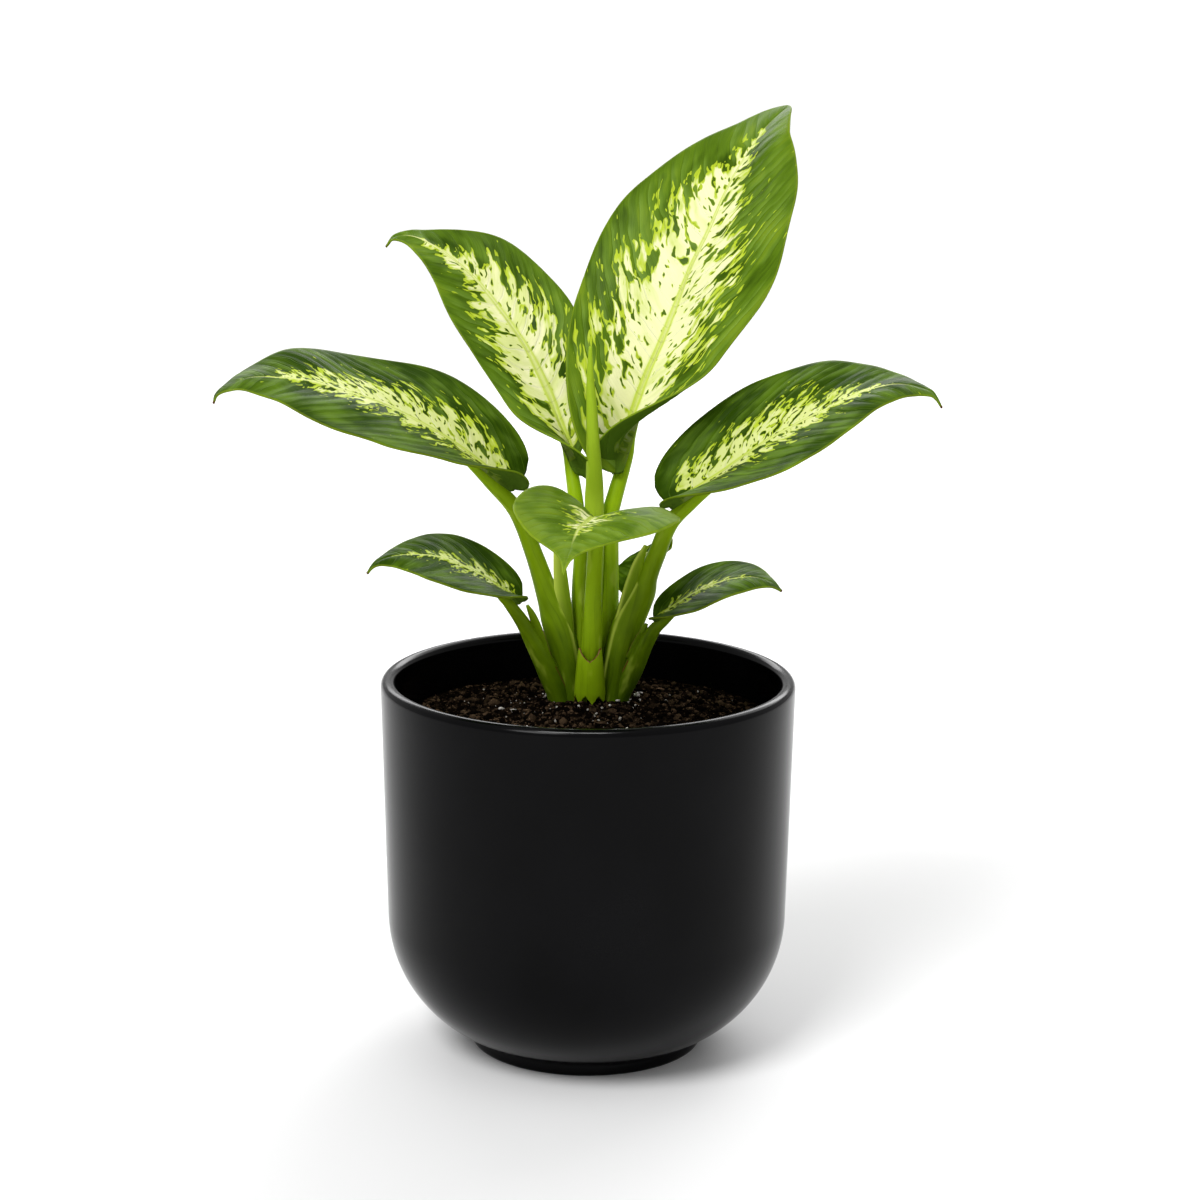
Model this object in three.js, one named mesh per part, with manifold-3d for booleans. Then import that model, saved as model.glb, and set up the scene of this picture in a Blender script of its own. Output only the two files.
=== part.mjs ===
// Potted dieffenbachia: a young plant with cream-hearted leaves, in a round black glazed pot of potting mix.
// Millimetres, +Z up. The origin is the centre of the flat underside of the pot's foot; +X is to the right
// and -Y is the front, where the heart-shaped front leaf droops over the rim.
import * as THREE from 'three';
import Module from 'manifold-3d';
import { mergeVertices } from 'three/addons/utils/BufferGeometryUtils.js';

const wasm = await Module();
wasm.setup();

// ---------- driving dimensions ----------
const GAP = 0.35;                 // clearance kept between touching pieces

const POT = {
  radius: 65,                     // outside, at the rim
  height: 119,
  wall: 4.6,
  wallFootRadius: 63.2,           // outside, where the straight wall meets the bottom curve
  bottomCurve: 42,                // radius of the big curve between wall and foot
  footRadius: 37,
  footHeight: 4,
  footBevel: 0.5,
  floor: 5,                       // thickness of the clay under the soil
  sides: 48,
  curveSteps: 7,                  // faces down the bottom curve, outside
  lipSteps: 6,                    // faces over the rounded lip
  insideSteps: 5,
};

const SOIL = {
  wallLevel: 104,                 // height of the surface where it meets the pot
  crownLevel: 113,                // height of the mound where the stalks come out
  holeX: 14,                      // half width of the plain hole that the stalks stand in
  holeY: 12,
  holeCentreY: 2,
  holeFloor: 94,
  holeSides: 24,
  sides: 40,
  sideSteps: 4,
  moundSteps: 6,
  moundPower: 1.5,                // how sharply the mound peaks
};

// the buried stump that carries the stalks
const CROWN = { radiusX: 12.6, radiusY: 10.6, bottom: 95, top: 108 };

const BLADE = {
  thickness: 0.8,
  ribDepth: 1.2,                  // how far the midrib stands out below the blade at its base
  ribWidth: 0.1,                  // of the half width
  tipHalfWidth: 0.5,
  sweep: 0.45,                    // how far the side veins lean towards the tip, of the half width
  lobeReach: 0.3,                 // part of the length that the basal lobes are drawn from
  foldReach: 0.16,                // part of the length over which a basal lobe folds over
  cup: -15,                       // degrees by which each half bends down again on the way to its edge
  smallLeafSteps: 18,             // leaves with fewer steps along the midrib than this count as small
  columnsLarge: 10,
  columnsSmall: 8,
};
const LIFT_AT = [0, 0.12, 0.3, 0.6, 1];    // places along the midrib where roll and lift are stated

// Each leaf: midrib points from the stalk to the tip; half widths to the left and right of the midrib,
// looking from the stalk to the tip; the turn of the blade about its midrib and the rise of each half, in
// degrees, at the places above; how far each basal lobe reaches back and how many degrees further it folds
// over; where each half is widest and how blunt its base and tip are; and the ripples of each edge, as
// height, number and phase.
const LEAVES = {
  top: {
    midrib: [[10, 7, 183], [11, 10.5, 192], [16.5, 17.5, 208], [22, 24, 220], [27, 29.5, 232],
      [32, 35, 244], [37.5, 40, 255], [43, 45, 267], [49, 49, 277.5], [56, 52, 287], [62.5, 53, 293]],
    halfWidth: [32, 38.5], roll: [0, 0, 0, 0, 0], lift: [[70, 60, 42, 26, 8], [45, 20, 16, 16, 6]],
    lobe: [0, 3], fold: [0, 100], widest: [0.45, 0.42], base: [0.35, 0.22], shoulder: [0.65, 0.95],
    tip: [0.75, 0.78], ripple: [[0.2, 2.5, 0.9], [0.3, 2.5, 0]], steps: 26,
  },
  upper_left: {
    midrib: [[-6, 8, 186], [-7, 10.5, 191], [-9.5, 14, 197], [-13, 19, 205.5], [-19.5, 25, 217.5],
      [-27.5, 30, 228.5], [-35.5, 34, 238], [-43, 36.5, 244.5], [-49.5, 38, 249], [-56, 39, 252],
      [-62, 39.5, 252], [-65, 39, 249]],
    halfWidth: [17, 20.5], roll: [20, 30, 30, 28, 20], lift: [[50, 30, 14, 4, 5], [30, 24, 20, 14, 8]],
    lobe: [11, 0], fold: [110, 0], widest: [0.38, 0.5], base: [0.42, 0.1], shoulder: [0.8, 0.85],
    tip: [1.05, 1.45], ripple: [[0.3, 2.5, 0.4], [1.4, 2.5, 0.5]], steps: 24,
  },
  left: {
    midrib: [[-26, -2, 180], [-33, -4, 186.5], [-41, -6, 193], [-49, -8, 198.5], [-57.5, -10, 203.5],
      [-66, -12, 207.5], [-75, -13.5, 211], [-85, -15, 214], [-95, -16, 215], [-102.5, -16.5, 215],
      [-108, -17, 213], [-112, -17, 210.5], [-113.5, -17, 207.5]],
    halfWidth: [25, 24.5], roll: [20, 20, 20, 15, 12], lift: [[70, 22, 4, 2, 0], [50, 34, 20, 9, 0]],
    lobe: [5, 3.5], fold: [0, 0], widest: [0.42, 0.42], base: [0.2, 0.35], shoulder: [0.6, 0.45],
    tip: [1.5, 1.1], ripple: [[0.5, 2.5, 0.4], [1.8, 1.9, 0.93]], steps: 22,
  },
  right: {
    midrib: [[27, -4, 175], [34, -6, 180.5], [41, -7.5, 185.5], [48.5, -9.5, 191.5], [56, -11, 197],
      [64, -12.5, 202], [72, -14, 206.5], [80, -15.5, 211], [89, -16.5, 214], [95, -17.5, 214.5],
      [101.5, -18, 213], [104, -18, 211], [106, -18, 208]],
    halfWidth: [27, 23.5], roll: [-20, -20, -20, -15, -12], lift: [[50, 36, 26, 8, 0], [52, 20, 4, 2, 0]],
    lobe: [4, 3.5], fold: [0, 0], widest: [0.42, 0.3], base: [0.34, 0.22], shoulder: [0.55, 0.6],
    tip: [1.6, 1.3], ripple: [[0.9, 2.4, 0.89], [0.3, 2.5, 0.5]], steps: 22,
  },
  front: {
    midrib: [[1, -14, 172], [-1, -32, 174], [-3, -52, 176], [-5, -72, 175], [-7, -88, 171]],
    halfWidth: [29.5, 21], roll: [0, 0, 0, 0, 0], lift: [[20, 16, 14, 13, 8], [46, 38, 30, 14, 5]],
    lobe: [9, 9], fold: [0, 0], widest: [0.32, 0.28], base: [0.45, 0.5], shoulder: [0.6, 0.6],
    tip: [2.6, 1.9], ripple: [[0.5, 2.5, 0.4], [0.5, 2.5, 0]], steps: 20,
  },
  lower_left: {
    midrib: [[-22, -10, 145], [-26, -12, 148.5], [-29.5, -14, 151.5], [-34, -16, 155], [-38, -17.5, 157.5],
      [-43, -19, 160], [-48, -21, 161.5], [-53, -22, 162], [-58, -23.5, 162], [-62.5, -24.5, 161],
      [-65, -25, 159.5], [-67, -25, 157]],
    halfWidth: [15.5, 13.3], roll: [20, 20, 20, 15, 12], lift: [[55, 18, 2, 2, 0], [50, 34, 20, 9, 0]],
    lobe: [0.5, 0.5], fold: [0, 0], widest: [0.38, 0.35], base: [0.15, 0.28], shoulder: [0.55, 0.5],
    tip: [1.6, 1.5], ripple: [[0.2, 2.5, 0.4], [0.4, 1.7, 0.9]], steps: 16,
  },
  lower_right: {
    midrib: [[21, -10, 140], [26.5, -13, 144.5], [32, -16, 149], [38, -18.5, 152.5], [44, -21, 155],
      [50, -23, 156], [55, -24.5, 155], [58.5, -25, 152.5]],
    halfWidth: [12, 12.5], roll: [-20, -20, -20, -15, -12], lift: [[50, 32, 18, 7, 0], [42, 14, 4, 4, 0]],
    lobe: [0.5, 0.5], fold: [0, 0], widest: [0.42, 0.38], base: [0.18, 0.15], shoulder: [0.55, 0.55],
    tip: [1.4, 1.3], ripple: [[0.3, 1.7, 0.9], [0.2, 2.5, 0]], steps: 16,
  },
  back: {
    midrib: [[16, 14, 144], [17, 26, 148], [18, 38, 150], [19, 50, 150], [20, 58, 149]],
    halfWidth: [10, 10], roll: [30, 30, 30, 30, 30], lift: [[40, 25, 15, 8, 0], [40, 25, 8, 5, 0]],
    lobe: [3, 3], fold: [0, 0], widest: [0.42, 0.42], base: [0.4, 0.4], shoulder: [0.6, 0.6],
    tip: [1.1, 1.1], ripple: [[0.4, 2.5, 0.4], [0.4, 2.5, 0]], steps: 16,
  },
};

// Each stalk: stations from the leaf down to the crown, as x, y, z, half width and half depth. A wing is
// the free upper tip of the sheath at the foot of the stalk. The order is the order in which the sheaths
// wrap: each one is cut back where it meets those above it in this list.
const STALKS = {
  furled_leaf: {
    path: [[0, 2, 223, 0.5, 0.5], [0, 1, 214, 1.1, 1.1], [0.5, 0, 204, 1.7, 1.5], [1, -0.5, 193, 2.1, 1.8],
      [1.5, 1, 181, 2.7, 2], [1.5, 2, 174, 3, 2.2], [2, 3.5, 160, 2.8, 2.2], [2, 4, 140, 2.4, 2],
      [2, 4, 105, 2.4, 2]],
  },
  stalk_top: {
    path: [[10, 6, 182, 2.4, 2.4], [7.5, 6, 174, 2.6, 2.5], [6.5, 6, 168, 2.7, 2.6],
      [6.5, 5.5, 145, 2.9, 2.9], [6, 5, 129, 3.4, 3.4], [4.5, 5, 113, 3.8, 4], [4.5, 5, 105, 3.8, 4]],
  },
  stalk_upper_left: {
    path: [[-6, 7.5, 185, 2, 2], [-4.5, 5, 176, 2.3, 2.1], [-3.5, 3.5, 168, 2.3, 2.2],
      [-2.5, 3, 159, 2.3, 2.3], [-3, 3, 146, 2.4, 2.6], [-2.5, 3, 130, 3, 3.2], [-1.5, 3, 114, 3.6, 3.8],
      [-1.5, 3, 105, 3.6, 3.8]],
  },
  stalk_front: {
    path: [[1.5, -13, 171, 2.3, 1.9], [2, -10, 166, 2.5, 2.1], [2, -7.5, 160, 2.6, 2.4],
      [1.5, -5, 148, 2.7, 2.6], [1, -4, 131, 3.2, 3], [0.5, -2.5, 115, 3.6, 3.4],
      [0.5, -2.5, 105, 3.6, 3.4]],
  },
  stalk_left: {
    path: [[-26, -2, 179, 2.4, 2.2], [-22.5, -2, 172, 2.6, 2.4], [-17, -1, 158, 2.8, 2.8],
      [-12.8, 0, 145, 3.6, 3.4], [-10.4, 0.5, 138, 4.7, 4.2], [-8, 1, 129, 4.9, 5],
      [-5.5, 2, 114, 4.8, 6], [-5.5, 2, 105, 4.8, 6]],
    wing: [[-10.5, -2, 161, 0.6, 0.4], [-9.3, -2, 156, 1.8, 0.5], [-8.4, -2, 147, 2.4, 0.7],
      [-7.2, -1.5, 136, 2.6, 1], [-7, -1, 128, 2.4, 1.2]],
  },
  stalk_right: {
    path: [[27, -4, 174.5, 2.4, 2.2], [25, -4, 169, 2.6, 2.4], [21, -3, 159, 2.8, 2.8],
      [18.3, -2.5, 152, 3.2, 3.2], [16.6, -2, 146.5, 4.2, 3.8], [12.4, -1, 137, 5, 4.6],
      [9.5, 0, 126, 4.8, 5.6], [7.5, 1, 114, 4.6, 6], [7.5, 1, 105, 4.6, 6]],
    wing: [[17.5, -4, 162, 0.6, 0.4], [15.2, -4, 156, 1.7, 0.5], [13.4, -3.8, 150, 2.1, 0.7],
      [11.8, -3.4, 144, 2.2, 0.9], [9.6, -2.8, 136, 2, 1]],
  },
  stalk_back: {
    path: [[16, 14, 144, 1.9, 1.8], [13.5, 12.5, 139, 2.1, 2], [9.5, 10, 128, 2.6, 2.5],
      [6, 8.5, 114, 3.2, 3], [6, 8.5, 105, 3.2, 3]],
  },
  stalk_lower_left: {
    path: [[-23.5, -10, 144.5, 1.9, 1.7], [-20.5, -9, 138.5, 2.2, 2], [-16.5, -7, 130.5, 2.8, 2.5],
      [-12.5, -4, 121.5, 3.4, 3.3], [-9, -1, 112, 3.6, 4], [-9, -1, 105, 3.6, 4]],
    wing: [[-19, -9.5, 144, 0.5, 0.4], [-17.3, -9.2, 140.5, 1.2, 0.5], [-15.4, -8, 135, 1.5, 0.7],
      [-12.8, -6, 126, 1.6, 1]],
  },
  stalk_lower_right: {
    path: [[22.5, -10, 140, 1.8, 1.6], [20.5, -9, 136.5, 2, 1.9], [17.5, -7, 131, 2.6, 2.4],
      [14, -4, 122.5, 3.2, 3], [9.5, -0.5, 112, 3.3, 3.6], [9.5, -0.5, 105, 3.3, 3.6]],
    wing: [[18, -7.6, 138, 0.5, 0.4], [17, -7.8, 135.5, 1.1, 0.5], [15.4, -6.6, 132, 1.4, 0.7],
      [13, -5, 126, 1.5, 1]],
  },
  old_sheath: {
    path: [[0.5, -7, 131, 3.2, 1.6], [0.5, -6.5, 125, 3.9, 2.6], [0.5, -5, 116, 4.6, 3.4],
      [0.5, -4, 112, 4.7, 3.6], [0.5, -4, 105, 4.7, 3.6]],
  },
};
const STALK_SIDES = 14;
const WING_SIDES = 8;
const STATION_LENGTH = 7;         // longest step between the sections of a stalk

// ---------- materials ----------
const glazed = new THREE.MeshStandardMaterial({ color: 0x141416, roughness: 0.45, metalness: 0 });
const compost = new THREE.MeshStandardMaterial({ color: 0x2a1d14, roughness: 1, metalness: 0 });
const leafGreen = new THREE.MeshStandardMaterial({ color: 0x4f8a2a, roughness: 0.45, metalness: 0 });
const stalkGreen = new THREE.MeshStandardMaterial({ color: 0x86a51c, roughness: 0.4, metalness: 0 });
const stumpBrown = new THREE.MeshStandardMaterial({ color: 0x6a5a2c, roughness: 0.8, metalness: 0 });

// ---------- small helpers ----------
const UP = new THREE.Vector3(0, 0, 1);
const BACK = new THREE.Vector3(0, 1, 0);
const radians = THREE.MathUtils.degToRad;

function smoothCurve(points) {
  return new THREE.CatmullRomCurve3(points.map((p) => new THREE.Vector3(...p)), false, 'catmullrom', 0.5);
}

// value at u of numbers stated at the places in `at`
function along(values, at, u) {
  let k = 1;
  while (k < at.length - 1 && u > at[k]) k += 1;
  const t = THREE.MathUtils.clamp((u - at[k - 1]) / (at[k] - at[k - 1]), 0, 1);
  return THREE.MathUtils.lerp(values[k - 1], values[k], t);
}

function closedGeometry(points, triangles) {
  const geometry = new THREE.BufferGeometry();
  geometry.setAttribute('position', new THREE.Float32BufferAttribute(points.flat(), 3));
  geometry.setIndex(triangles.flat());
  return geometry;
}

// triangles of a band between two rows of points that both go round once
function ringBand(start, next, count) {
  const triangles = [];
  for (let k = 0; k < count; k += 1) {
    const l = (k + 1) % count;
    triangles.push([start + k, start + l, next + k], [start + l, next + l, next + k]);
  }
  return triangles;
}

function signedVolume(mesh) {
  const { vertProperties: p, triVerts: t } = mesh;
  let sum = 0;
  for (let i = 0; i < t.length; i += 3) {
    const [a, b, c] = [t[i] * 3, t[i + 1] * 3, t[i + 2] * 3];
    sum += p[a] * (p[b + 1] * p[c + 2] - p[b + 2] * p[c + 1])
      - p[a + 1] * (p[b] * p[c + 2] - p[b + 2] * p[c])
      + p[a + 2] * (p[b] * p[c + 1] - p[b + 1] * p[c]);
  }
  return sum / 6;
}

// a closed three.js geometry as a solid that can be cut and joined, its faces turned outwards
function solidOf(geometry) {
  const bare = geometry.clone();
  bare.deleteAttribute('normal');
  bare.deleteAttribute('uv');
  const merged = mergeVertices(bare, 1e-4);
  const mesh = {
    numProp: 3,
    vertProperties: Float32Array.from(merged.attributes.position.array),
    triVerts: Uint32Array.from(merged.index.array),
  };
  if (signedVolume(mesh) < 0) {
    for (let i = 0; i < mesh.triVerts.length; i += 3) {
      [mesh.triVerts[i + 1], mesh.triVerts[i + 2]] = [mesh.triVerts[i + 2], mesh.triVerts[i + 1]];
    }
  }
  return new wasm.Manifold(new wasm.Mesh(mesh));
}

// the largest body of a solid, without the loose scraps that a cut may leave
function mainBody(solid) {
  const bodies = solid.decompose();
  return bodies.reduce((best, body) => (body.volume() > best.volume() ? body : best));
}

function meshOf(name, solid, material) {
  const { vertProperties, triVerts } = solid.getMesh();
  const geometry = new THREE.BufferGeometry();
  geometry.setAttribute('position', new THREE.Float32BufferAttribute(vertProperties, 3));
  geometry.setIndex(new THREE.Uint32BufferAttribute(triVerts, 1));
  const mesh = new THREE.Mesh(geometry, material);
  mesh.name = name;
  return mesh;
}

// ---------- the pot ----------
// outside radius and height of the middle of the bottom curve
const curveCentre = (() => {
  const x = POT.wallFootRadius - POT.bottomCurve;
  const reach = POT.footRadius - x;
  return { x, z: POT.footHeight + Math.sqrt(POT.bottomCurve ** 2 - reach ** 2) };
})();

// points [r, z] of the curved outside or, with the wall taken off, of the inside of the pot, from low to high
function curvedWall(inset, lowest, steps) {
  const radius = POT.bottomCurve - inset;
  const start = -Math.asin((curveCentre.z - lowest) / radius);
  const points = [];
  for (let k = 0; k <= steps; k += 1) {
    const angle = start * (1 - k / steps);
    points.push([curveCentre.x + radius * Math.cos(angle), curveCentre.z + radius * Math.sin(angle)]);
  }
  return points;
}

function potSolid() {
  const lip = POT.wall / 2;
  const outside = curvedWall(0, POT.footHeight, POT.curveSteps);
  const inside = curvedWall(POT.wall, POT.footHeight + POT.floor, POT.insideSteps);
  const rim = [];
  for (let k = 0; k <= POT.lipSteps; k += 1) {
    const angle = (Math.PI * k) / POT.lipSteps;
    rim.push([POT.radius - lip + lip * Math.cos(angle), POT.height - lip + lip * Math.sin(angle)]);
  }
  const profile = [
    [0, 0], [POT.footRadius - POT.footBevel, 0], [POT.footRadius, POT.footBevel],
    ...outside, ...rim, ...inside.reverse(), [0, POT.footHeight + POT.floor],
  ];
  return latheSolid(profile, POT.sides);
}

// revolves [r, z] points about the Z axis
function latheSolid(profile, sides) {
  const lathe = new THREE.LatheGeometry(profile.map(([r, z]) => new THREE.Vector2(r, z)), sides);
  lathe.rotateX(Math.PI / 2);
  return solidOf(lathe);
}

// ---------- the soil ----------
function soilSolid() {
  const wallClear = POT.wall + GAP;
  const low = POT.footHeight + POT.floor + GAP;
  const side = curvedWall(wallClear, low, SOIL.sideSteps);
  const top = [];
  const edge = insideRadius(SOIL.wallLevel) - GAP;
  for (let k = 0; k <= SOIL.moundSteps; k += 1) {
    const r = edge * (1 - k / SOIL.moundSteps);
    const rise = Math.cos((Math.PI / 2) * (r / edge)) ** SOIL.moundPower;
    top.push([r, SOIL.wallLevel + (SOIL.crownLevel - SOIL.wallLevel) * rise]);
  }
  const body = latheSolid([[0, low], ...side, ...top], SOIL.sides);
  return body.subtract(uprightEllipse(SOIL.holeX, SOIL.holeY, SOIL.holeCentreY, SOIL.holeFloor, POT.height));
}

// inside radius of the pot where its wall is straight
function insideRadius(z) {
  const t = (z - curveCentre.z) / (POT.height - POT.wall / 2 - curveCentre.z);
  return THREE.MathUtils.lerp(POT.wallFootRadius, POT.radius, t) - POT.wall;
}

function uprightEllipse(halfX, halfY, centreY, bottom, top) {
  const cylinder = new THREE.CylinderGeometry(1, 1, top - bottom, SOIL.holeSides);
  cylinder.rotateX(Math.PI / 2);
  cylinder.scale(halfX, halfY, 1);
  cylinder.translate(0, centreY, (top + bottom) / 2);
  return solidOf(cylinder);
}

// ---------- the blades ----------
// share of the full half width at u along the midrib
function outline(leaf, half, u) {
  const [base, widest] = [leaf.base[half], leaf.widest[half]];
  if (u < widest) {
    return base + (1 - base) * Math.sin((Math.PI / 2) * (u / widest) ** leaf.shoulder[half]);
  }
  const t = Math.min(1, (u - widest) / (1 - widest));
  return Math.max(0, Math.cos((Math.PI / 2) * t)) ** leaf.tip[half];
}

// the middle surface of a blade at u along the midrib and v across it, from -1 on the left edge to 1 on the
// right one
function bladePoint(leaf, curve, u, v, grow) {
  const centre = curve.getPointAt(u);
  const ahead = curve.getTangentAt(u);
  const level = new THREE.Vector3().crossVectors(ahead, UP).normalize();
  const above = new THREE.Vector3().crossVectors(level, ahead);
  const roll = radians(along(leaf.roll, LIFT_AT, u));
  const side = level.clone().multiplyScalar(Math.cos(roll)).addScaledVector(above, Math.sin(roll));
  const face = above.clone().multiplyScalar(Math.cos(roll)).addScaledVector(level, -Math.sin(roll));

  const half = v < 0 ? 0 : 1;
  const a = Math.abs(v);
  const share = outline(leaf, half, u);
  const width = leaf.halfWidth[half] * share + BLADE.tipHalfWidth + grow;
  const fold = leaf.fold[half] * Math.max(0, 1 - u / BLADE.foldReach) ** 1.5;
  const angle = radians(along(leaf.lift[half], LIFT_AT, u) + fold + (BLADE.cup * a) / 2);
  const across = width * a * Math.cos(angle) * Math.sign(v);
  const [height, count, phase] = leaf.ripple[half];
  const ripple = height * share * a * a * Math.sin(2 * Math.PI * (count * u + phase));
  const rise = width * a * Math.sin(angle) + ripple;
  let forward = BLADE.sweep * width * a ** 1.5;
  if (u < BLADE.lobeReach) {
    forward -= (leaf.lobe[half] + BLADE.sweep * width) * (1 - u / BLADE.lobeReach) ** 2 * a ** 0.7;
  }
  if (u === 1) forward += grow;
  return centre.addScaledVector(ahead, forward).addScaledVector(side, across).addScaledVector(face, rise);
}

// a blade as one closed body: the same grid of triangles above and below, joined round the edge. A grown
// blade, which the stalks are cut back from, also reaches out past its base, square to the edge there.
function bladeSolid(leaf, grow = 0) {
  const curve = smoothCurve(leaf.midrib);
  const rows = leaf.steps;
  const columns = leaf.steps < BLADE.smallLeafSteps ? BLADE.columnsSmall : BLADE.columnsLarge;
  const width = columns + 1;
  const middle = [];
  for (let i = 0; i <= rows; i += 1) {
    for (let j = 0; j <= columns; j += 1) {
      middle.push(bladePoint(leaf, curve, i / rows, (2 * j) / columns - 1, grow));
    }
  }
  const within = THREE.MathUtils.clamp;
  const at = (i, j) => middle[within(i, 0, rows) * width + within(j, 0, columns)];
  const outwards = middle.slice(0, width).map((point, j) => {
    const edge = at(0, j + 1).clone().sub(at(0, j - 1)).normalize();
    const out = point.clone().sub(at(1, j));
    return out.addScaledVector(edge, -out.dot(edge)).setLength(grow);
  });
  outwards.forEach((step, j) => middle[j].add(step));
  const above = [];
  const below = [];
  for (let i = 0; i <= rows; i += 1) {
    for (let j = 0; j <= columns; j += 1) {
      const down = at(i + 1, j).clone().sub(at(i - 1, j));
      const over = at(i, j + 1).clone().sub(at(i, j - 1));
      const normal = over.cross(down).normalize();
      const v = (2 * j) / columns - 1;
      const rib = BLADE.ribDepth * (1 - i / rows) * Math.exp(-((v / BLADE.ribWidth) ** 2));
      above.push(at(i, j).clone().addScaledVector(normal, BLADE.thickness / 2 + grow).toArray());
      below.push(at(i, j).clone().addScaledVector(normal, -BLADE.thickness / 2 - rib - grow).toArray());
    }
  }
  const triangles = [];
  const lower = above.length;
  for (let i = 0; i < rows; i += 1) {
    for (let j = 0; j < columns; j += 1) {
      const a = i * width + j;
      const [b, c, d] = [a + 1, a + width, a + width + 1];
      triangles.push([a, b, c], [b, d, c]);
      triangles.push([lower + a, lower + c, lower + b], [lower + b, lower + c, lower + d]);
    }
  }
  const edge = [];
  for (let j = 0; j < columns; j += 1) edge.push(j);
  for (let i = 0; i < rows; i += 1) edge.push(i * width + columns);
  for (let j = columns; j > 0; j -= 1) edge.push(rows * width + j);
  for (let i = rows; i > 0; i -= 1) edge.push(i * width);
  edge.forEach((from, k) => {
    const to = edge[(k + 1) % edge.length];
    triangles.push([from, lower + from, to], [to, lower + from, lower + to]);
  });
  return solidOf(closedGeometry([...above, ...below], triangles));
}

// ---------- the stalks ----------
// a loft of ellipses along a smooth line, rounded off by a small cap at each end
function loftSolid(stations, sides, grow = 0) {
  const curve = smoothCurve(stations.map(([x, y, z]) => [x, y, z]));
  const steps = Math.ceil(curve.getLength() / STATION_LENGTH);
  const last = stations.length - 1;
  const points = [];
  const triangles = [];
  for (let i = 0; i <= steps; i += 1) {
    const t = i / steps;
    const centre = curve.getPoint(t);
    const ahead = curve.getTangent(t);
    const side = new THREE.Vector3().crossVectors(ahead, BACK).normalize();
    const front = new THREE.Vector3().crossVectors(side, ahead);
    const k = Math.min(last - 1, Math.floor(t * last));
    const halfWidth = THREE.MathUtils.lerp(stations[k][3], stations[k + 1][3], t * last - k) + grow;
    const halfDepth = THREE.MathUtils.lerp(stations[k][4], stations[k + 1][4], t * last - k) + grow;
    if (i === 0) centre.addScaledVector(ahead, -grow);
    for (let s = 0; s < sides; s += 1) {
      const angle = (2 * Math.PI * s) / sides;
      points.push(centre.clone()
        .addScaledVector(side, halfWidth * Math.cos(angle))
        .addScaledVector(front, halfDepth * Math.sin(angle)).toArray());
    }
    if (i > 0) triangles.push(...ringBand((i - 1) * sides, i * sides, sides));
  }
  const end = steps * sides;
  for (let s = 1; s < sides - 1; s += 1) {
    triangles.push([0, s + 1, s], [end, end + s, end + s + 1]);
  }
  return solidOf(closedGeometry(points, triangles));
}

function stalkSolid(stalk, grow = 0) {
  const main = loftSolid(stalk.path, STALK_SIDES, grow);
  return stalk.wing ? main.add(loftSolid(stalk.wing, WING_SIDES, grow)) : main;
}

// ---------- assembly ----------
const plant = new THREE.Group();
plant.add(meshOf('pot', potSolid(), glazed));
plant.add(meshOf('soil', soilSolid(), compost));

const crown = uprightEllipse(CROWN.radiusX, CROWN.radiusY, SOIL.holeCentreY, CROWN.bottom, CROWN.top);
plant.add(meshOf('stem_crown', crown, stumpBrown));

// what the stalks are cut back from: the crown, then every blade, then each stalk before them
const cutters = [
  uprightEllipse(2 * CROWN.radiusX, 2 * CROWN.radiusY, SOIL.holeCentreY, CROWN.bottom, CROWN.top + GAP),
];
for (const [name, leaf] of Object.entries(LEAVES)) {
  plant.add(meshOf(`leaf_${name}`, bladeSolid(leaf), leafGreen));
  cutters.push(bladeSolid(leaf, GAP));
}
for (const [name, stalk] of Object.entries(STALKS)) {
  let solid = stalkSolid(stalk);
  for (const cutter of cutters) solid = solid.subtract(cutter);
  plant.add(meshOf(name, mainBody(solid), stalkGreen));
  cutters.push(stalkSolid(stalk, GAP));
}

export default plant;
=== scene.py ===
"""Potted dieffenbachia: a young plant with cream-hearted leaves, in a round black glazed pot of potting mix.

Each piece is modelled in the fixed frame, in the place of its node, and stands for it. The crumbs and the
white grains stand for none. Leaves and stalks are stated in millimetres, and a mesh is made in metres.
"""
import math

import bpy
import numpy as np
from bpy.props import FloatProperty, FloatVectorProperty, IntProperty, PointerProperty
from mathutils import Matrix, Vector, noise


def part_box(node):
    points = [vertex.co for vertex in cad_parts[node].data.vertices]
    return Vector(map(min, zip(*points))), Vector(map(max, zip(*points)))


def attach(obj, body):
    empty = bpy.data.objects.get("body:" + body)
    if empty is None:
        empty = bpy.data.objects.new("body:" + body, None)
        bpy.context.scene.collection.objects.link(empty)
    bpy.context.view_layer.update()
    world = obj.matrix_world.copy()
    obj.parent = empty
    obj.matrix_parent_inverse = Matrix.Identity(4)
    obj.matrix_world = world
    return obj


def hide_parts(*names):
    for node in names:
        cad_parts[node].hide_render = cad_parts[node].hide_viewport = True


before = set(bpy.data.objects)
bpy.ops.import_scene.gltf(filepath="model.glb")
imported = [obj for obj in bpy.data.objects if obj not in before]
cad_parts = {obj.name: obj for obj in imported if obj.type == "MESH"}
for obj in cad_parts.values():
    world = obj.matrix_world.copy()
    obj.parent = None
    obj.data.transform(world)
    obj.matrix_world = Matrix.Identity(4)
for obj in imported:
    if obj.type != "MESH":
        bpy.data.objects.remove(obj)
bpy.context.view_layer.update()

bl_info = {
    "name": "Potted Dieffenbachia",
    "version": (1, 0, 0),
    "blender": (4, 5, 0),
    "location": "View3D > Sidebar > Plant",
    "description": "Models a young cream-hearted dieffenbachia in a black glazed pot",
    "category": "Object",
}

MM = 0.001
CM = 0.01
UP = np.array([0.0, 0.0, 1.0])
BACK = np.array([0.0, 1.0, 0.0])
POT_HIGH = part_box("pot")[1]
SOIL_LOW, SOIL_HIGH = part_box("soil")
SOIL_EDGE = SOIL_HIGH.x / MM

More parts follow.
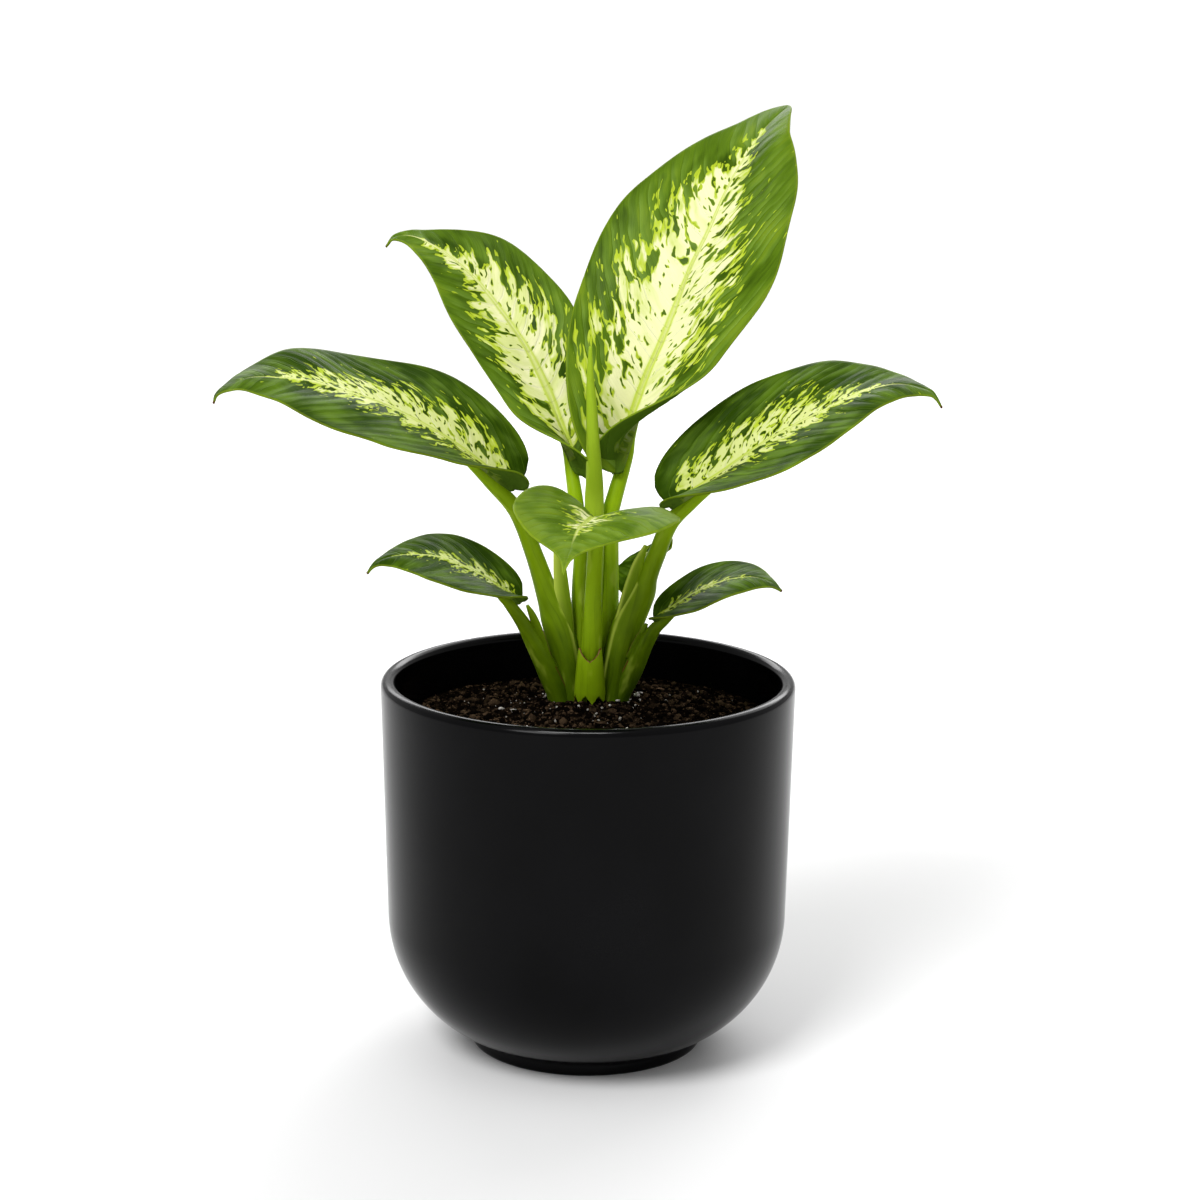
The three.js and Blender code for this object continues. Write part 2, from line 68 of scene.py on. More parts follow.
# ---------- the plant's driving dimensions, in millimetres ----------
POT = {
    "foot_wall_radius": 63.2,        # outside, where the straight wall meets the bottom curve
    "bottom_curve": 42,              # radius of that curve
    "foot_radius": 37,
    "foot_height": 4,
    "floor": 5,                      # thickness of the clay under the mix
    "recess": ((7.5, 1.6), (6.5, 1.0), (5.8, 0)),    # under the foot: distance in from its edge, and height
    "foot_ring": ((1.2, 0), (0.4, 0.3), (0, 1.1), (0, 2.2), (-0.1, 3.4)),    # the same, round the recess
}
SOIL = {
    "wall_level": 104,               # height of the mix at the wall
    "mound_power": 1.5,              # how steeply it rises from there to the stalks
    "clearance": 0.3,                # gap between the mix and the curved bottom
}
BLADE = {
    "tip_half_width": 0.35,
    "sweep": 0.45,                   # how far the rows of the blade lean towards the tip, of the half width
    "lobe_reach": 0.3,               # part of the length that the basal lobes are drawn from
    "fold_reach": 0.2,               # part of the length over which a basal lobe folds over
    "vein_lean": 0.28,               # how far the side veins lean towards the tip, of their reach
    "curl": 0.65,                    # how far they curve further towards it, of the half width
    "cup": -15,                      # degrees by which each half bends down again on the way to its edge
    "rib_taper": 0.9,                # how evenly the midrib narrows: 1 is in proportion to what is left of it
    "rib_spread": 1.15,              # how wide it is under the blade, of its width above
    "rib_depth": 1.3,                # how far it stands out there, of its half width
    "ridge": (1.5, 0.4),             # half width and height of the low ridge over it
    "quilt": 0.36,                   # how far a blade bulges between its side veins
    "unevenness": 0.5,               # height of its broad waves
    "full_relief": 90,               # length from which a blade has both in full
    "rows_per_mm": 1.25,
    "fewest_rows": 70,
    "columns": 84,
}
LIFT_AT = [0, 0.12, 0.3, 0.6, 1]     # places along the midrib where roll and lift are stated
CREAM_AT = [0, 0.06, 0.2, 0.5, 0.75, 0.9, 1]    # places where the width of the cream heart is stated
NO_CREAM = -0.4                      # share of the half width that stands for no heart, at the stalk

# Each leaf, from the stalk to the tip. A pair of values is for the half to the left of the midrib and the
# half to the right of it, looking that way.
#   midrib: points along it
#   half_width: how wide each half is at most
#   roll: turn of the blade about its midrib, in degrees, at the places LIFT_AT
#   lift: rise of each half, in degrees, at the same places
#   lobe, fold: how far the basal lobe of each half reaches back, and how many degrees further it folds over
#   widest: where each half is widest, as a share of the length
#   base, shoulder, tip: share of its width that each half starts with, and how it widens and narrows
#   ripple: the wave of each edge, as height in millimetres, number of waves and phase
#   tone: how light the green is; on the front leaf it is raised partly as painted sheen
#   rib: half width of the midrib at the stalk
#   fineness: how much finer the pattern is than on the largest leaf
#   cream: share of each half that the cream heart takes, at the places CREAM_AT after the first
LEAVES = {
    "top": {
        "midrib": [(10, 7, 183), (11, 10.5, 192), (16.5, 17.5, 208), (22, 24, 220), (27, 29.5, 232),
                   (32, 35, 244), (37.5, 40, 255), (43, 45, 267), (49, 49, 277.5), (56, 52, 287),
                   (62.5, 53, 293)],
        "half_width": (32, 38.5), "roll": (0, 0, 0, 0, 0),
        "lift": ((70, 60, 42, 26, 8), (45, 20, 16, 16, 6)), "lobe": (0, 0), "fold": (0, 100),
        "widest": (0.45, 0.42), "base": (0.35, 0.22), "shoulder": (0.65, 0.95), "tip": (0.75, 0.78),
        "ripple": ((0.2, 2.5, 0.9), (0.3, 2.5, 0)), "tone": 0.95, "rib": 2.2, "fineness": 1,
        "cream": ((0.64, 0.7, 0.66, 0.46, 0.15, -0.4), (0.5, 0.6, 0.56, 0.4, 0.15, -0.4)),
    },
    "upper_left": {
        "midrib": [(-6, 8, 186), (-7, 10.5, 191), (-9.5, 14, 197), (-13, 19, 205.5), (-19.5, 25, 217.5),
                   (-27.5, 30, 228.5), (-35.5, 34, 238), (-43, 36.5, 244.5), (-49.5, 38, 249),
                   (-56, 39, 252), (-62, 39.5, 252), (-65, 39, 249)],
        "half_width": (17, 20.5), "roll": (20, 30, 30, 28, 20),
        "lift": ((50, 30, 14, 4, 5), (30, 24, 20, 14, 8)), "lobe": (11, 0), "fold": (110, 0),
        "widest": (0.38, 0.5), "base": (0.42, 0.1), "shoulder": (0.8, 0.85), "tip": (1.05, 1.45),
        "ripple": ((0.3, 2.5, 0.4), (1.4, 2.5, 0.5)), "tone": 0.7, "rib": 1.8, "fineness": 1.15,
        "cream": ((0.5, 0.62, 0.6, 0.42, 0, -0.4), (0.6, 0.66, 0.62, 0.42, 0, -0.4)),
    },
    "left": {
        "midrib": [(-26, -2, 180), (-33, -4, 186.5), (-41, -6, 193), (-49, -8, 198.5), (-57.5, -10, 203.5),
                   (-66, -12, 207.5), (-75, -13.5, 211), (-85, -15, 214), (-95, -16, 215),
                   (-102.5, -16.5, 215), (-108, -17, 213), (-112, -17, 210.5), (-113.5, -17, 207.5)],
        "half_width": (25, 24.5), "roll": (20, 20, 20, 15, 12),
        "lift": ((70, 22, 4, 2, 0), (50, 34, 20, 9, 0)), "lobe": (5, 3.5), "fold": (0, 0),
        "widest": (0.42, 0.42), "base": (0.2, 0.35), "shoulder": (0.6, 0.45), "tip": (1.5, 1.1),
        "ripple": ((0.5, 2.5, 0.4), (1.8, 1.9, 0.93)), "tone": 0.35, "rib": 1.2, "fineness": 1.5,
        "cream": ((0.3, 0.26, 0.26, 0.14, -0.25, -0.6), (0.46, 0.52, 0.44, 0.28, -0.25, -0.6)),
    },
    "right": {
        "midrib": [(27, -4, 175), (34, -6, 180.5), (41, -7.5, 185.5), (48.5, -9.5, 191.5), (56, -11, 197),
                   (64, -12.5, 202), (72, -14, 206.5), (80, -15.5, 211), (89, -16.5, 214),
                   (95, -17.5, 214.5), (101.5, -18, 213), (104, -18, 211), (106, -18, 208)],
        "half_width": (27, 23.5), "roll": (-20, -20, -20, -15, -12),
        "lift": ((50, 36, 26, 8, 0), (52, 20, 4, 2, 0)), "lobe": (4, 3.5), "fold": (0, 0),
        "widest": (0.42, 0.3), "base": (0.34, 0.22), "shoulder": (0.55, 0.6), "tip": (1.6, 1.3),
        "ripple": ((0.9, 2.4, 0.89), (0.3, 2.5, 0.5)), "tone": 0.35, "rib": 1.2, "fineness": 1.5,
        "cream": ((0.42, 0.46, 0.4, 0.22, -0.2, -0.6), (0.3, 0.28, 0.28, 0.14, -0.25, -0.6)),
    },
    "front": {
        "midrib": [(1, -14, 172), (-1, -32, 174), (-3, -52, 176), (-5, -72, 175), (-7, -88, 171)],
        "half_width": (29.5, 21), "roll": (0, 0, 0, 0, 0),
        "lift": ((20, 16, 14, 13, 8), (46, 38, 30, 14, 5)), "lobe": (9, 9), "fold": (0, 0),
        "widest": (0.32, 0.28), "base": (0.45, 0.5), "shoulder": (0.6, 0.6), "tip": (2.6, 1.9),
        # the front leaf's higher tone stands partly for painted sheen
        "ripple": ((0.5, 2.5, 0.4), (0.5, 2.5, 0)), "tone": 1.15, "rib": 1.2, "fineness": 1.3,
        "cream": ((0.42, 0.3, 0.1, -0.2, -0.4, -0.6), (0.42, 0.32, 0.1, -0.2, -0.4, -0.6)),
    },
    "lower_left": {
        "midrib": [(-22, -10, 145), (-26, -12, 148.5), (-29.5, -14, 151.5), (-34, -16, 155),
                   (-38, -17.5, 157.5), (-43, -19, 160), (-48, -21, 161.5), (-53, -22, 162),
                   (-58, -23.5, 162), (-62.5, -24.5, 161), (-65, -25, 159.5), (-67, -25, 157)],
        "half_width": (15.5, 13.3), "roll": (20, 20, 20, 15, 12),
        "lift": ((55, 18, 2, 2, 0), (50, 34, 20, 9, 0)), "lobe": (0.5, 0.5), "fold": (0, 0),
        "widest": (0.38, 0.35), "base": (0.15, 0.28), "shoulder": (0.55, 0.5), "tip": (1.6, 1.5),
        "ripple": ((0.2, 2.5, 0.4), (0.4, 1.7, 0.9)), "tone": 0.28, "rib": 0.8, "fineness": 1.9,
        "cream": ((0.2, 0.2, 0.16, 0.05, -0.3, -0.6), (0.26, 0.28, 0.24, 0.1, -0.3, -0.6)),
    },
    "lower_right": {
        "midrib": [(21, -10, 140), (26.5, -13, 144.5), (32, -16, 149), (38, -18.5, 152.5), (44, -21, 155),
                   (50, -23, 156), (55, -24.5, 155), (58.5, -25, 152.5)],
        "half_width": (12, 12.5), "roll": (-20, -20, -20, -15, -12),
        "lift": ((50, 32, 18, 7, 0), (42, 14, 4, 4, 0)), "lobe": (0.5, 0.5), "fold": (0, 0),
        "widest": (0.42, 0.38), "base": (0.18, 0.15), "shoulder": (0.55, 0.55), "tip": (1.4, 1.3),
        "ripple": ((0.3, 1.7, 0.9), (0.2, 2.5, 0)), "tone": 0.28, "rib": 0.8, "fineness": 1.9,
        "cream": ((0.22, 0.22, 0.18, 0.05, -0.3, -0.6), (0.18, 0.18, 0.12, 0, -0.3, -0.6)),
    },
    "back": {
        "midrib": [(16, 14, 144), (17, 26, 148), (18, 38, 150), (19, 50, 150), (20, 58, 149)],
        "half_width": (10, 10), "roll": (30, 30, 30, 30, 30),
        "lift": ((40, 25, 15, 8, 0), (40, 25, 8, 5, 0)), "lobe": (3, 3), "fold": (0, 0),
        "widest": (0.42, 0.42), "base": (0.4, 0.4), "shoulder": (0.6, 0.6), "tip": (1.1, 1.1),
        "ripple": ((0.4, 2.5, 0.4), (0.4, 2.5, 0)), "tone": 0.2, "rib": 0.7, "fineness": 1.9,
        "cream": ((0.22, 0.22, 0.18, 0.05, -0.3, -0.6), (0.18, 0.18, 0.12, 0, -0.3, -0.6)),
    },
}

# Each stalk: stations from the leaf down to the crown, as x, y, z, half width and half depth. A wing is the
# free upper tip of the sheath at the foot of the stalk. The tone is how lime the stalk is. An edge is a
# coloured line down a stalk or a wing: its kind, the angle in degrees that it lies at, its width, and the
# heights it runs between.
STALKS = {
    "top": {
        "tone": 1,
        "path": [(10, 6, 182, 2.4, 2.4), (7.5, 6, 174, 2.6, 2.5), (6.5, 6, 168, 2.7, 2.6),
                 (6.5, 5.5, 145, 2.9, 2.9), (6, 5, 129, 3.4, 3.4), (4.5, 5, 113, 3.8, 4),
                 (4.5, 5, 105, 3.8, 4)],
    },
    "upper_left": {
        "tone": 0.75,
        "path": [(-6, 7.5, 185, 2, 2), (-4.5, 5, 176, 2.3, 2.1), (-3.5, 3.5, 168, 2.3, 2.2),
                 (-2.5, 3, 159, 2.3, 2.3), (-3, 3, 146, 2.4, 2.6), (-2.5, 3, 130, 3, 3.2),
                 (-1.5, 3, 114, 3.6, 3.8), (-1.5, 3, 105, 3.6, 3.8)],
    },
    "front": {
        "tone": 0.85,
        "path": [(1.5, -13, 171, 2.3, 1.9), (2, -10, 166, 2.5, 2.1), (2, -7.5, 160, 2.6, 2.4),
                 (1.5, -5, 148, 2.7, 2.6), (1, -4, 131, 3.2, 3), (0.5, -2.5, 115, 3.6, 3.4),
                 (0.5, -2.5, 105, 3.6, 3.4)],
    },
    "left": {
        "tone": 0.45,
        "path": [(-26, -2, 179, 2.4, 2.2), (-22.5, -2, 172, 2.6, 2.4), (-17, -1, 158, 2.8, 2.8),
                 (-12.8, 0, 145, 3.6, 3.4), (-10.4, 0.5, 138, 4.7, 4.2), (-8, 1, 129, 4.9, 5),
                 (-5.5, 2, 114, 4.8, 6), (-5.5, 2, 105, 4.8, 6)],
        "wing": [(-10.5, -2, 161, 0.6, 0.4), (-9.3, -2, 156, 1.8, 0.5), (-8.4, -2, 147, 2.4, 0.7),
                 (-7.2, -1.5, 136, 2.6, 1), (-7, -1, 128, 2.4, 1.2)],
        "edges": [("pale", -40, 0.45, 106, 137)],
        "wing_edges": [("pale", 180, 1.8, 134, 170), ("pale", 0, 0.5, 106, 150)],
    },
    "right": {
        "tone": 0.45,
        "path": [(27, -4, 174.5, 2.4, 2.2), (25, -4, 169, 2.6, 2.4), (21, -3, 159, 2.8, 2.8),
                 (18.3, -2.5, 152, 3.2, 3.2), (16.6, -2, 146.5, 4.2, 3.8), (12.4, -1, 137, 5, 4.6),
                 (9.5, 0, 126, 4.8, 5.6), (7.5, 1, 114, 4.6, 6), (7.5, 1, 105, 4.6, 6)],
        "wing": [(17.5, -4, 162, 0.6, 0.4), (15.2, -4, 156, 1.7, 0.5), (13.4, -3.8, 150, 2.1, 0.7),
                 (11.8, -3.4, 144, 2.2, 0.9), (9.6, -2.8, 136, 2, 1)],
        "edges": [("pale", 222, 0.45, 106, 150)],
        "wing_edges": [("pale", 215, 0.5, 120, 170)],
    },
    "back": {
        "tone": 0.4,
        "path": [(16, 14, 144, 1.9, 1.8), (13.5, 12.5, 139, 2.1, 2), (9.5, 10, 128, 2.6, 2.5),
                 (6, 8.5, 114, 3.2, 3), (6, 8.5, 105, 3.2, 3)],
    },
    "lower_left": {
        "tone": 0.5,
        "path": [(-23.5, -10, 144.5, 1.9, 1.7), (-20.5, -9, 138.5, 2.2, 2), (-16.5, -7, 130.5, 2.8, 2.5),
                 (-12.5, -4, 121.5, 3.4, 3.3), (-9, -1, 112, 3.6, 4), (-9, -1, 105, 3.6, 4)],
        "wing": [(-19, -9.5, 144, 0.5, 0.4), (-17.3, -9.2, 140.5, 1.2, 0.5), (-15.4, -8, 135, 1.5, 0.7),
                 (-12.8, -6, 126, 1.6, 1)],
        "edges": [("dry", -25, 0.35, 105, 124)],
        "wing_edges": [("dry", 0, 0.5, 126, 136), ("dry", 180, 0.7, 137, 142)],
    },
    "lower_right": {
        "tone": 0.4,
        "path": [(22.5, -10, 140, 1.8, 1.6), (20.5, -9, 136.5, 2, 1.9), (17.5, -7, 131, 2.6, 2.4),
                 (14, -4, 122.5, 3.2, 3), (9.5, -0.5, 112, 3.3, 3.6), (9.5, -0.5, 105, 3.3, 3.6)],
        "wing": [(18, -7.6, 138, 0.5, 0.4), (17, -7.8, 135.5, 1.1, 0.5), (15.4, -6.6, 132, 1.4, 0.7),
                 (13, -5, 126, 1.5, 1)],
        "edges": [("dry", 205, 0.35, 105, 126)],
        "wing_edges": [("dry", 180, 0.4, 127, 137)],
    },
}

# How a stalk thins out under its midrib: places along the midrib, and the share of its width there.
RUN_OUT = [(0.30, 0.15), (0.22, 0.35), (0.15, 0.55), (0.09, 0.75), (0.04, 0.9)]
# The furled leaf and the line of the old sheath, with stations like a stalk's.
FURLED_LEAF = [(0, 2, 223, 0.5, 0.5), (0, 1, 214, 1.1, 1.1), (0.5, 0, 204, 1.7, 1.5),
               (1, -0.5, 193, 2.1, 1.8), (1.5, 1, 181, 2.7, 2), (1.5, 2, 174, 3, 2.2),
               (2, 3.5, 160, 2.8, 2.2), (2, 4, 140, 2.4, 2), (2, 4, 105, 2.4, 2)]
# the furled leaf is paler than a stalk: partly its own young colour, partly painted light shining through it
FURLED_TONE = 1.12
OLD_SHEATH = [(0.5, -7, 131, 3.2, 1.6), (0.5, -6.5, 125, 3.9, 2.6), (0.5, -5, 116, 4.6, 3.4),
              (0.5, -4, 112, 4.7, 3.6), (0.5, -4, 107, 4.7, 3.6)]
TORN = {
    "half_turn": 100,                # degrees that the sheath reaches round to each side
    "stand_off": 0.25,               # gap between the sheath and its line
    "top": 0.05,                     # where its upper edge lies along its line
    "bottom": 0.81,                  # where its lower edge lies along its line
    "notch": (0.16, 0.62),           # how deep the notch at the front is, and its half width
    "teeth": ((0.13, 1.9, 0.32), (0.015, 7.3, 0)),    # large and small ones: depth, number on a half, shift
    "dry": ((1.2, 0.35), (0.6, 0.3)),    # how dry the upper and the lower edge are, and how far in
    "thickness": 0.5,
    "tone": 0.95,
}
# the dark foot is partly the stalks' own colour and partly painted shade from the pot
STALK_SHADE = (108, 178)             # heights between which a stalk goes from dark to lime
STALK_STEP = 0.9                     # distance between the rings of a stalk

# Lumps that lie on the mix: the spread of their sizes as shape and scale, the least and the most, how flat
# they are, and the seed of their shapes.
CRUMB = {"spread": (1.6, 0.27), "least": 0.22, "most": 2.0, "flatness": 0.7, "seed": 12}
GRAIN = {"spread": (1.2, 0.22), "least": 0.16, "most": 1.1, "flatness": 0.8, "seed": 14}

# Noise in the pattern of a blade, drawn out along its side veins: changes per centimetre across the veins
# and along them, how far apart the two halves lie in the noise, where they lie in it, and its detail.
PATTERN = {
    "tongue": (1.9, 1.1, 3, 0, 1.5),
    "notch": (4.2, 2.8, 5, 9, 1),
    "wander": (0.8, 0.5, 7, 21, 1),
    "fleck": (3.1, 2.0, 4, 40, 0.6),
    "dot": (6.0, 4.6, 4, 74, 0),
    "speck": (5.2, 4.6, 4, 63, 0),
    "drift": (1.5, 0.7, 2, 80, 2),
    "streak": (3.0, 0.5, 2, 100, 3),
}


# ---------- what a user would change ----------
def size(name, default, about):
    return FloatProperty(name=name, default=default, min=0.0, unit="LENGTH", precision=4, description=about)


def share(name, default, about):
    return FloatProperty(name=name, default=default, min=0.0, max=1.0, subtype="FACTOR", description=about)


def colour(name, default, about):
    return FloatVectorProperty(name=name, default=default, size=3, min=0.0, max=1.0, subtype="COLOR",
                               description=about)


class PotSettings(bpy.types.PropertyGroup):
    radius: size("Radius", POT_HIGH.x, "Outside radius at the rim")
    height: size("Height", POT_HIGH.z, "Height from the foot to the top of the rim")
    wall: size("Wall", 0.0046, "Thickness of the clay")
    glaze: colour("Glaze", (0.0010, 0.0010, 0.0012), "Colour of the black glaze")
    sheen: share("Sheen", 0.08, "How much the glaze reflects when looked at straight on")
    roughness: share("Roughness", 0.17, "How soft the reflections in the glaze are")


class SoilSettings(bpy.types.PropertyGroup):
    crown_level: size("Crown level", SOIL_HIGH.z, "Height of the mound where the stalks come out")
    crumbs: IntProperty(name="Crumbs", default=7000, min=0, description="How many crumbs lie on the mix")
    grains: IntProperty(name="Grains", default=150, min=0, description="How many white grains lie on the mix")
    peat: colour("Peat", (0.0030, 0.0020, 0.0014), "Colour of the moist mix")
    crumb: colour("Crumb", (0.068, 0.043, 0.025), "Colour of the driest crumbs")
    grain: colour("Grain", (0.74, 0.71, 0.65), "Colour of the white grains")


class LeafSettings(bpy.types.PropertyGroup):
    thickness: size("Thickness", 0.0006, "Thickness of a blade")
    vein_spacing: size("Vein spacing", 0.0062, "Distance between the side veins at the midrib")
    cream: colour("Cream", (0.88, 0.88, 0.50), "Colour of the heart of a leaf")
    lime: colour("Lime", (0.47, 0.60, 0.030), "Colour of the edge of the heart")
    midrib: colour("Midrib", (0.50, 0.62, 0.055), "Colour of the midrib")
    green: colour("Green", (0.100, 0.190, 0.007), "Colour of the margins")
    dark_green: colour("Dark green", (0.024, 0.058, 0.001), "Colour of the flecks and of the dark streaks")
    # painted sheen: the lighter bands stand for the sheen on the quilted margins
    painted_band_sheen: colour("Band", (0.20, 0.33, 0.050), "Colour of the lighter bands of the margins")
    side_vein: colour("Side vein", (0.93, 0.94, 0.74), "Colour of the side veins in the heart")
    dry_tip: colour("Dry tip", (0.09, 0.02, 0.008), "Colour of the dry tip of an older leaf")
    back: colour("Underside", (0.070, 0.130, 0.012), "Colour that dulls the underside")


class StalkSettings(bpy.types.PropertyGroup):
    lime: colour("Lime", (0.27, 0.43, 0.005), "Colour of the upper part of a stalk")
    # the dark green at the foot is partly painted shade from the pot
    green: colour("Green", (0.029, 0.066, 0.001), "Colour of the foot of a stalk")
    pale: colour("Pale", (0.55, 0.66, 0.09), "Colour of the thin margins of the sheaths")
    brown: colour("Brown", (0.13, 0.045, 0.012), "Colour of the dry margins of the sheaths")
    frayed: colour("Frayed", (0.30, 0.16, 0.06), "Colour of the frayed fibres in those")


class StageSettings(bpy.types.PropertyGroup):
    floor: colour("Floor", (0.88, 0.88, 0.88), "Colour of the floor")
    distance: size("Camera distance", 0.936, "From the camera to the point that it looks at")
    aim_side: size("Aim to the side", 0.0035, "How far to the right of the pot's middle the camera looks")
    aim_height: size("Aim height", 0.1436, "Height of the point that the camera looks at")
    pitch: FloatProperty(name="Pitch", default=math.radians(12.85), subtype="ANGLE",
                         description="How far the camera looks down")
    roll: FloatProperty(name="Roll", default=math.radians(0.43), subtype="ANGLE",
                        description="How far the camera is turned about the line it looks along")


class PlantSettings(bpy.types.PropertyGroup):
    pot: PointerProperty(type=PotSettings, name="Pot", description="Sizes and glaze of the pot")
    soil: PointerProperty(type=SoilSettings, name="Soil", description="The potting mix")
    leaf: PointerProperty(type=LeafSettings, name="Leaves", description="The blades of the leaves")
    stalk: PointerProperty(type=StalkSettings, name="Stalks", description="The stalks of the leaves")
    stage: PointerProperty(type=StageSettings, name="Stage", description="Floor, light and camera")


# ---------- materials ----------
class Socket:
    """An output of a node. A sum such as 1 - mask * 0.5 adds the Math nodes that it needs."""

    def __init__(self, finish, output):
        self.finish = finish
        self.output = output

    def math(self, operation, *values):
        return self.finish.node("ShaderNodeMath", values, operation=operation)

    def __add__(self, other):
        return self.math("ADD", self, other)

    def __sub__(self, other):
        return self.math("SUBTRACT", self, other)

    def __rsub__(self, other):
        return self.math("SUBTRACT", other, self)

    def __mul__(self, other):
        return self.math("MULTIPLY", self, other)

    def __truediv__(self, other):
        return self.math("DIVIDE", self, other)

    def __abs__(self):
        return self.math("ABSOLUTE", self)

    __radd__ = __add__

    def sign(self):
        return self.math("SIGN", self)

    def fraction(self):
        return self.math("FRACT", self)

    def rise(self, low, high):
        """0 below low, 1 above high and smooth between, or the other way round if low is the higher."""
        if low > high:
            return 1 - self.rise(high, low)
        return self.finish.node("ShaderNodeMapRange", (self, low, high), interpolation_type="SMOOTHSTEP")

    def parts(self):
        """The three numbers of a vector."""
        split = self.finish.node("ShaderNodeSeparateXYZ", (self,))
        return [Socket(self.finish, output) for output in split.output.node.outputs]


class Finish:
    """A material being made: its shader's constants are set by name, and node() adds any other node."""

    def __init__(self, name, **constants):
        self.material = bpy.data.materials.new(name)
        self.material.use_nodes = True
        self.tree = self.material.node_tree
        self.shader = self.tree.nodes["Principled BSDF"]
        for key, value in constants.items():
            self.shader.inputs[key.replace("_", " ").title().replace("Ior", "IOR")].default_value = value

    def node(self, kind, inputs=(), out=0, **settings):
        made = self.tree.nodes.new(kind)
        for key, value in settings.items():
            setattr(made, key, value)
        named = inputs.items() if isinstance(inputs, dict) else enumerate(inputs)
        for key, value in named:
            self.feed(made.inputs[key], value)
        return Socket(self, made.outputs[out])

    def feed(self, target, value):
        if isinstance(value, Socket):
            self.tree.links.new(value.output, target)
        elif hasattr(value, "__len__") and target.type == "RGBA":
            target.default_value = (*value, 1)
        else:
            target.default_value = value

    def shade(self, key, value):
        self.feed(self.shader.inputs[key], value)

    def attribute(self, name):
        return self.node("ShaderNodeAttribute", out="Vector", attribute_name=name)

    def place(self):
        return self.node("ShaderNodeTexCoord", out="Object")

    def vector(self, x, y, z=0.0):
        return self.node("ShaderNodeCombineXYZ", (x, y, z))

    def noise(self, vector, scale=1.0, detail=2.0, roughness=0.5):
        return self.node("ShaderNodeTexNoise", {"Vector": vector, "Scale": scale, "Detail": detail,
                                                "Roughness": roughness})

    def field(self, x, y, z, detail, roughness=0.5):
        return self.noise(self.vector(x, y, z), detail=detail, roughness=roughness)

    def mix(self, mask, below, above):
        """The colour below where the mask is 0 and the colour above where it is 1."""
        return self.node("ShaderNodeMix", {0: mask, 6: below, 7: above}, out=2, data_type="RGBA")

    def bump(self, height, distance, strength):
        self.shade("Normal", self.node("ShaderNodeBump", {"Height": height, "Distance": distance,
                                                          "Strength": strength}))


def either(mask, other):
    """How much of a point at least one of two masks covers."""
    return 1 - (1 - mask) * (1 - other)


def tinted(tint, strength):
    return [part * strength for part in tint]


def glaze_finish(pot):
    """Black glaze with a soft even sheen and a faint unevenness in it."""
    finish = Finish("black_glaze", specular_ior_level=pot.sheen, ior=1.5)
    place = finish.place()
    cloud = finish.noise(place, scale=26, detail=3)
    grain = finish.noise(place, scale=900, detail=1)
    finish.shade("Base Color", finish.mix(cloud.rise(0.35, 0.7), pot.glaze, tinted(pot.glaze, 2.2)))
    finish.shade("Roughness", pot.roughness + (cloud - 0.5) * 0.16 + (grain - 0.5) * 0.05)
    finish.bump(cloud * 0.6 + grain * 0.04, 0.0003, 0.3)
    return finish.material


def soil_finish(soil):
    """Moist dark mix: brown fibres over nearly black peat."""
    finish = Finish("potting_mix", specular_ior_level=0)
    place = finish.place()
    clod = finish.noise(place, scale=260, detail=4, roughness=0.65)
    fibre = finish.noise(place, scale=1500, detail=2, roughness=0.6)
    brown = finish.mix(clod.rise(0.50, 0.72) * 0.7, soil.peat, soil.crumb)
    finish.shade("Base Color", finish.mix(fibre.rise(0.64, 0.72) * 0.6, brown, tinted(soil.crumb, 3)))
    finish.shade("Roughness", 0.95 - fibre.rise(0.5, 0.7) * 0.5)
    finish.bump(clod + fibre * 0.5, 0.0012, 1.0)
    return finish.material


def crumb_finish(soil):
    """Crumbs, each with a tint of its own, and painted glints on their fibres."""
    finish = Finish("crumbs", specular_ior_level=0)
    tint = finish.attribute("crumb_tint").parts()[0]
    fibre = finish.noise(finish.place(), scale=1300, detail=3, roughness=0.7)
    brown = finish.mix(tint.rise(0.45, 1.0), soil.peat, soil.crumb)
    # painted glints: bright spots that stand for light caught by the wet crumbs, which are also glossier
    # there
    glint = fibre.rise(0.56, 0.72)
    painted_glint = glint * tint.rise(0.2, 0.9) * 0.9
    finish.shade("Base Color", finish.mix(painted_glint, brown, tinted(soil.crumb, 4)))
    finish.shade("Roughness", 0.9 - glint * 0.6)
    finish.bump(fibre, 0.0007, 1.0)
    return finish.material


def grain_finish(soil):
    """White and grey grains that lighten the mix."""
    finish = Finish("white_grains", specular_ior_level=0.5)
    tint = finish.attribute("crumb_tint").parts()[0]
    pits = finish.noise(finish.place(), scale=2600, detail=2, roughness=0.6)
    finish.shade("Base Color", finish.mix(tint * 0.6 + pits.rise(0.6, 0.4) * 0.35, soil.grain, soil.crumb))
    finish.shade("Roughness", 0.45 + pits * 0.3)
    finish.bump(pits, 0.0003, 0.8)
    return finish.material


def stump_finish():
    """Woody stump with rings round it."""
    finish = Finish("stump", specular_ior_level=0.3)
    x, y, z = finish.place().parts()
    bark = finish.noise(finish.vector(x, y, z * 4), scale=240, detail=4, roughness=0.6)
    groove, ridge = (0.05, 0.03, 0.012), (0.20, 0.15, 0.05)
    finish.shade("Base Color", finish.mix(bark.rise(0.35, 0.7), groove, ridge))
    finish.shade("Roughness", 0.7 + bark * 0.25)
    finish.bump(bark, 0.0006, 0.9)
    return finish.material


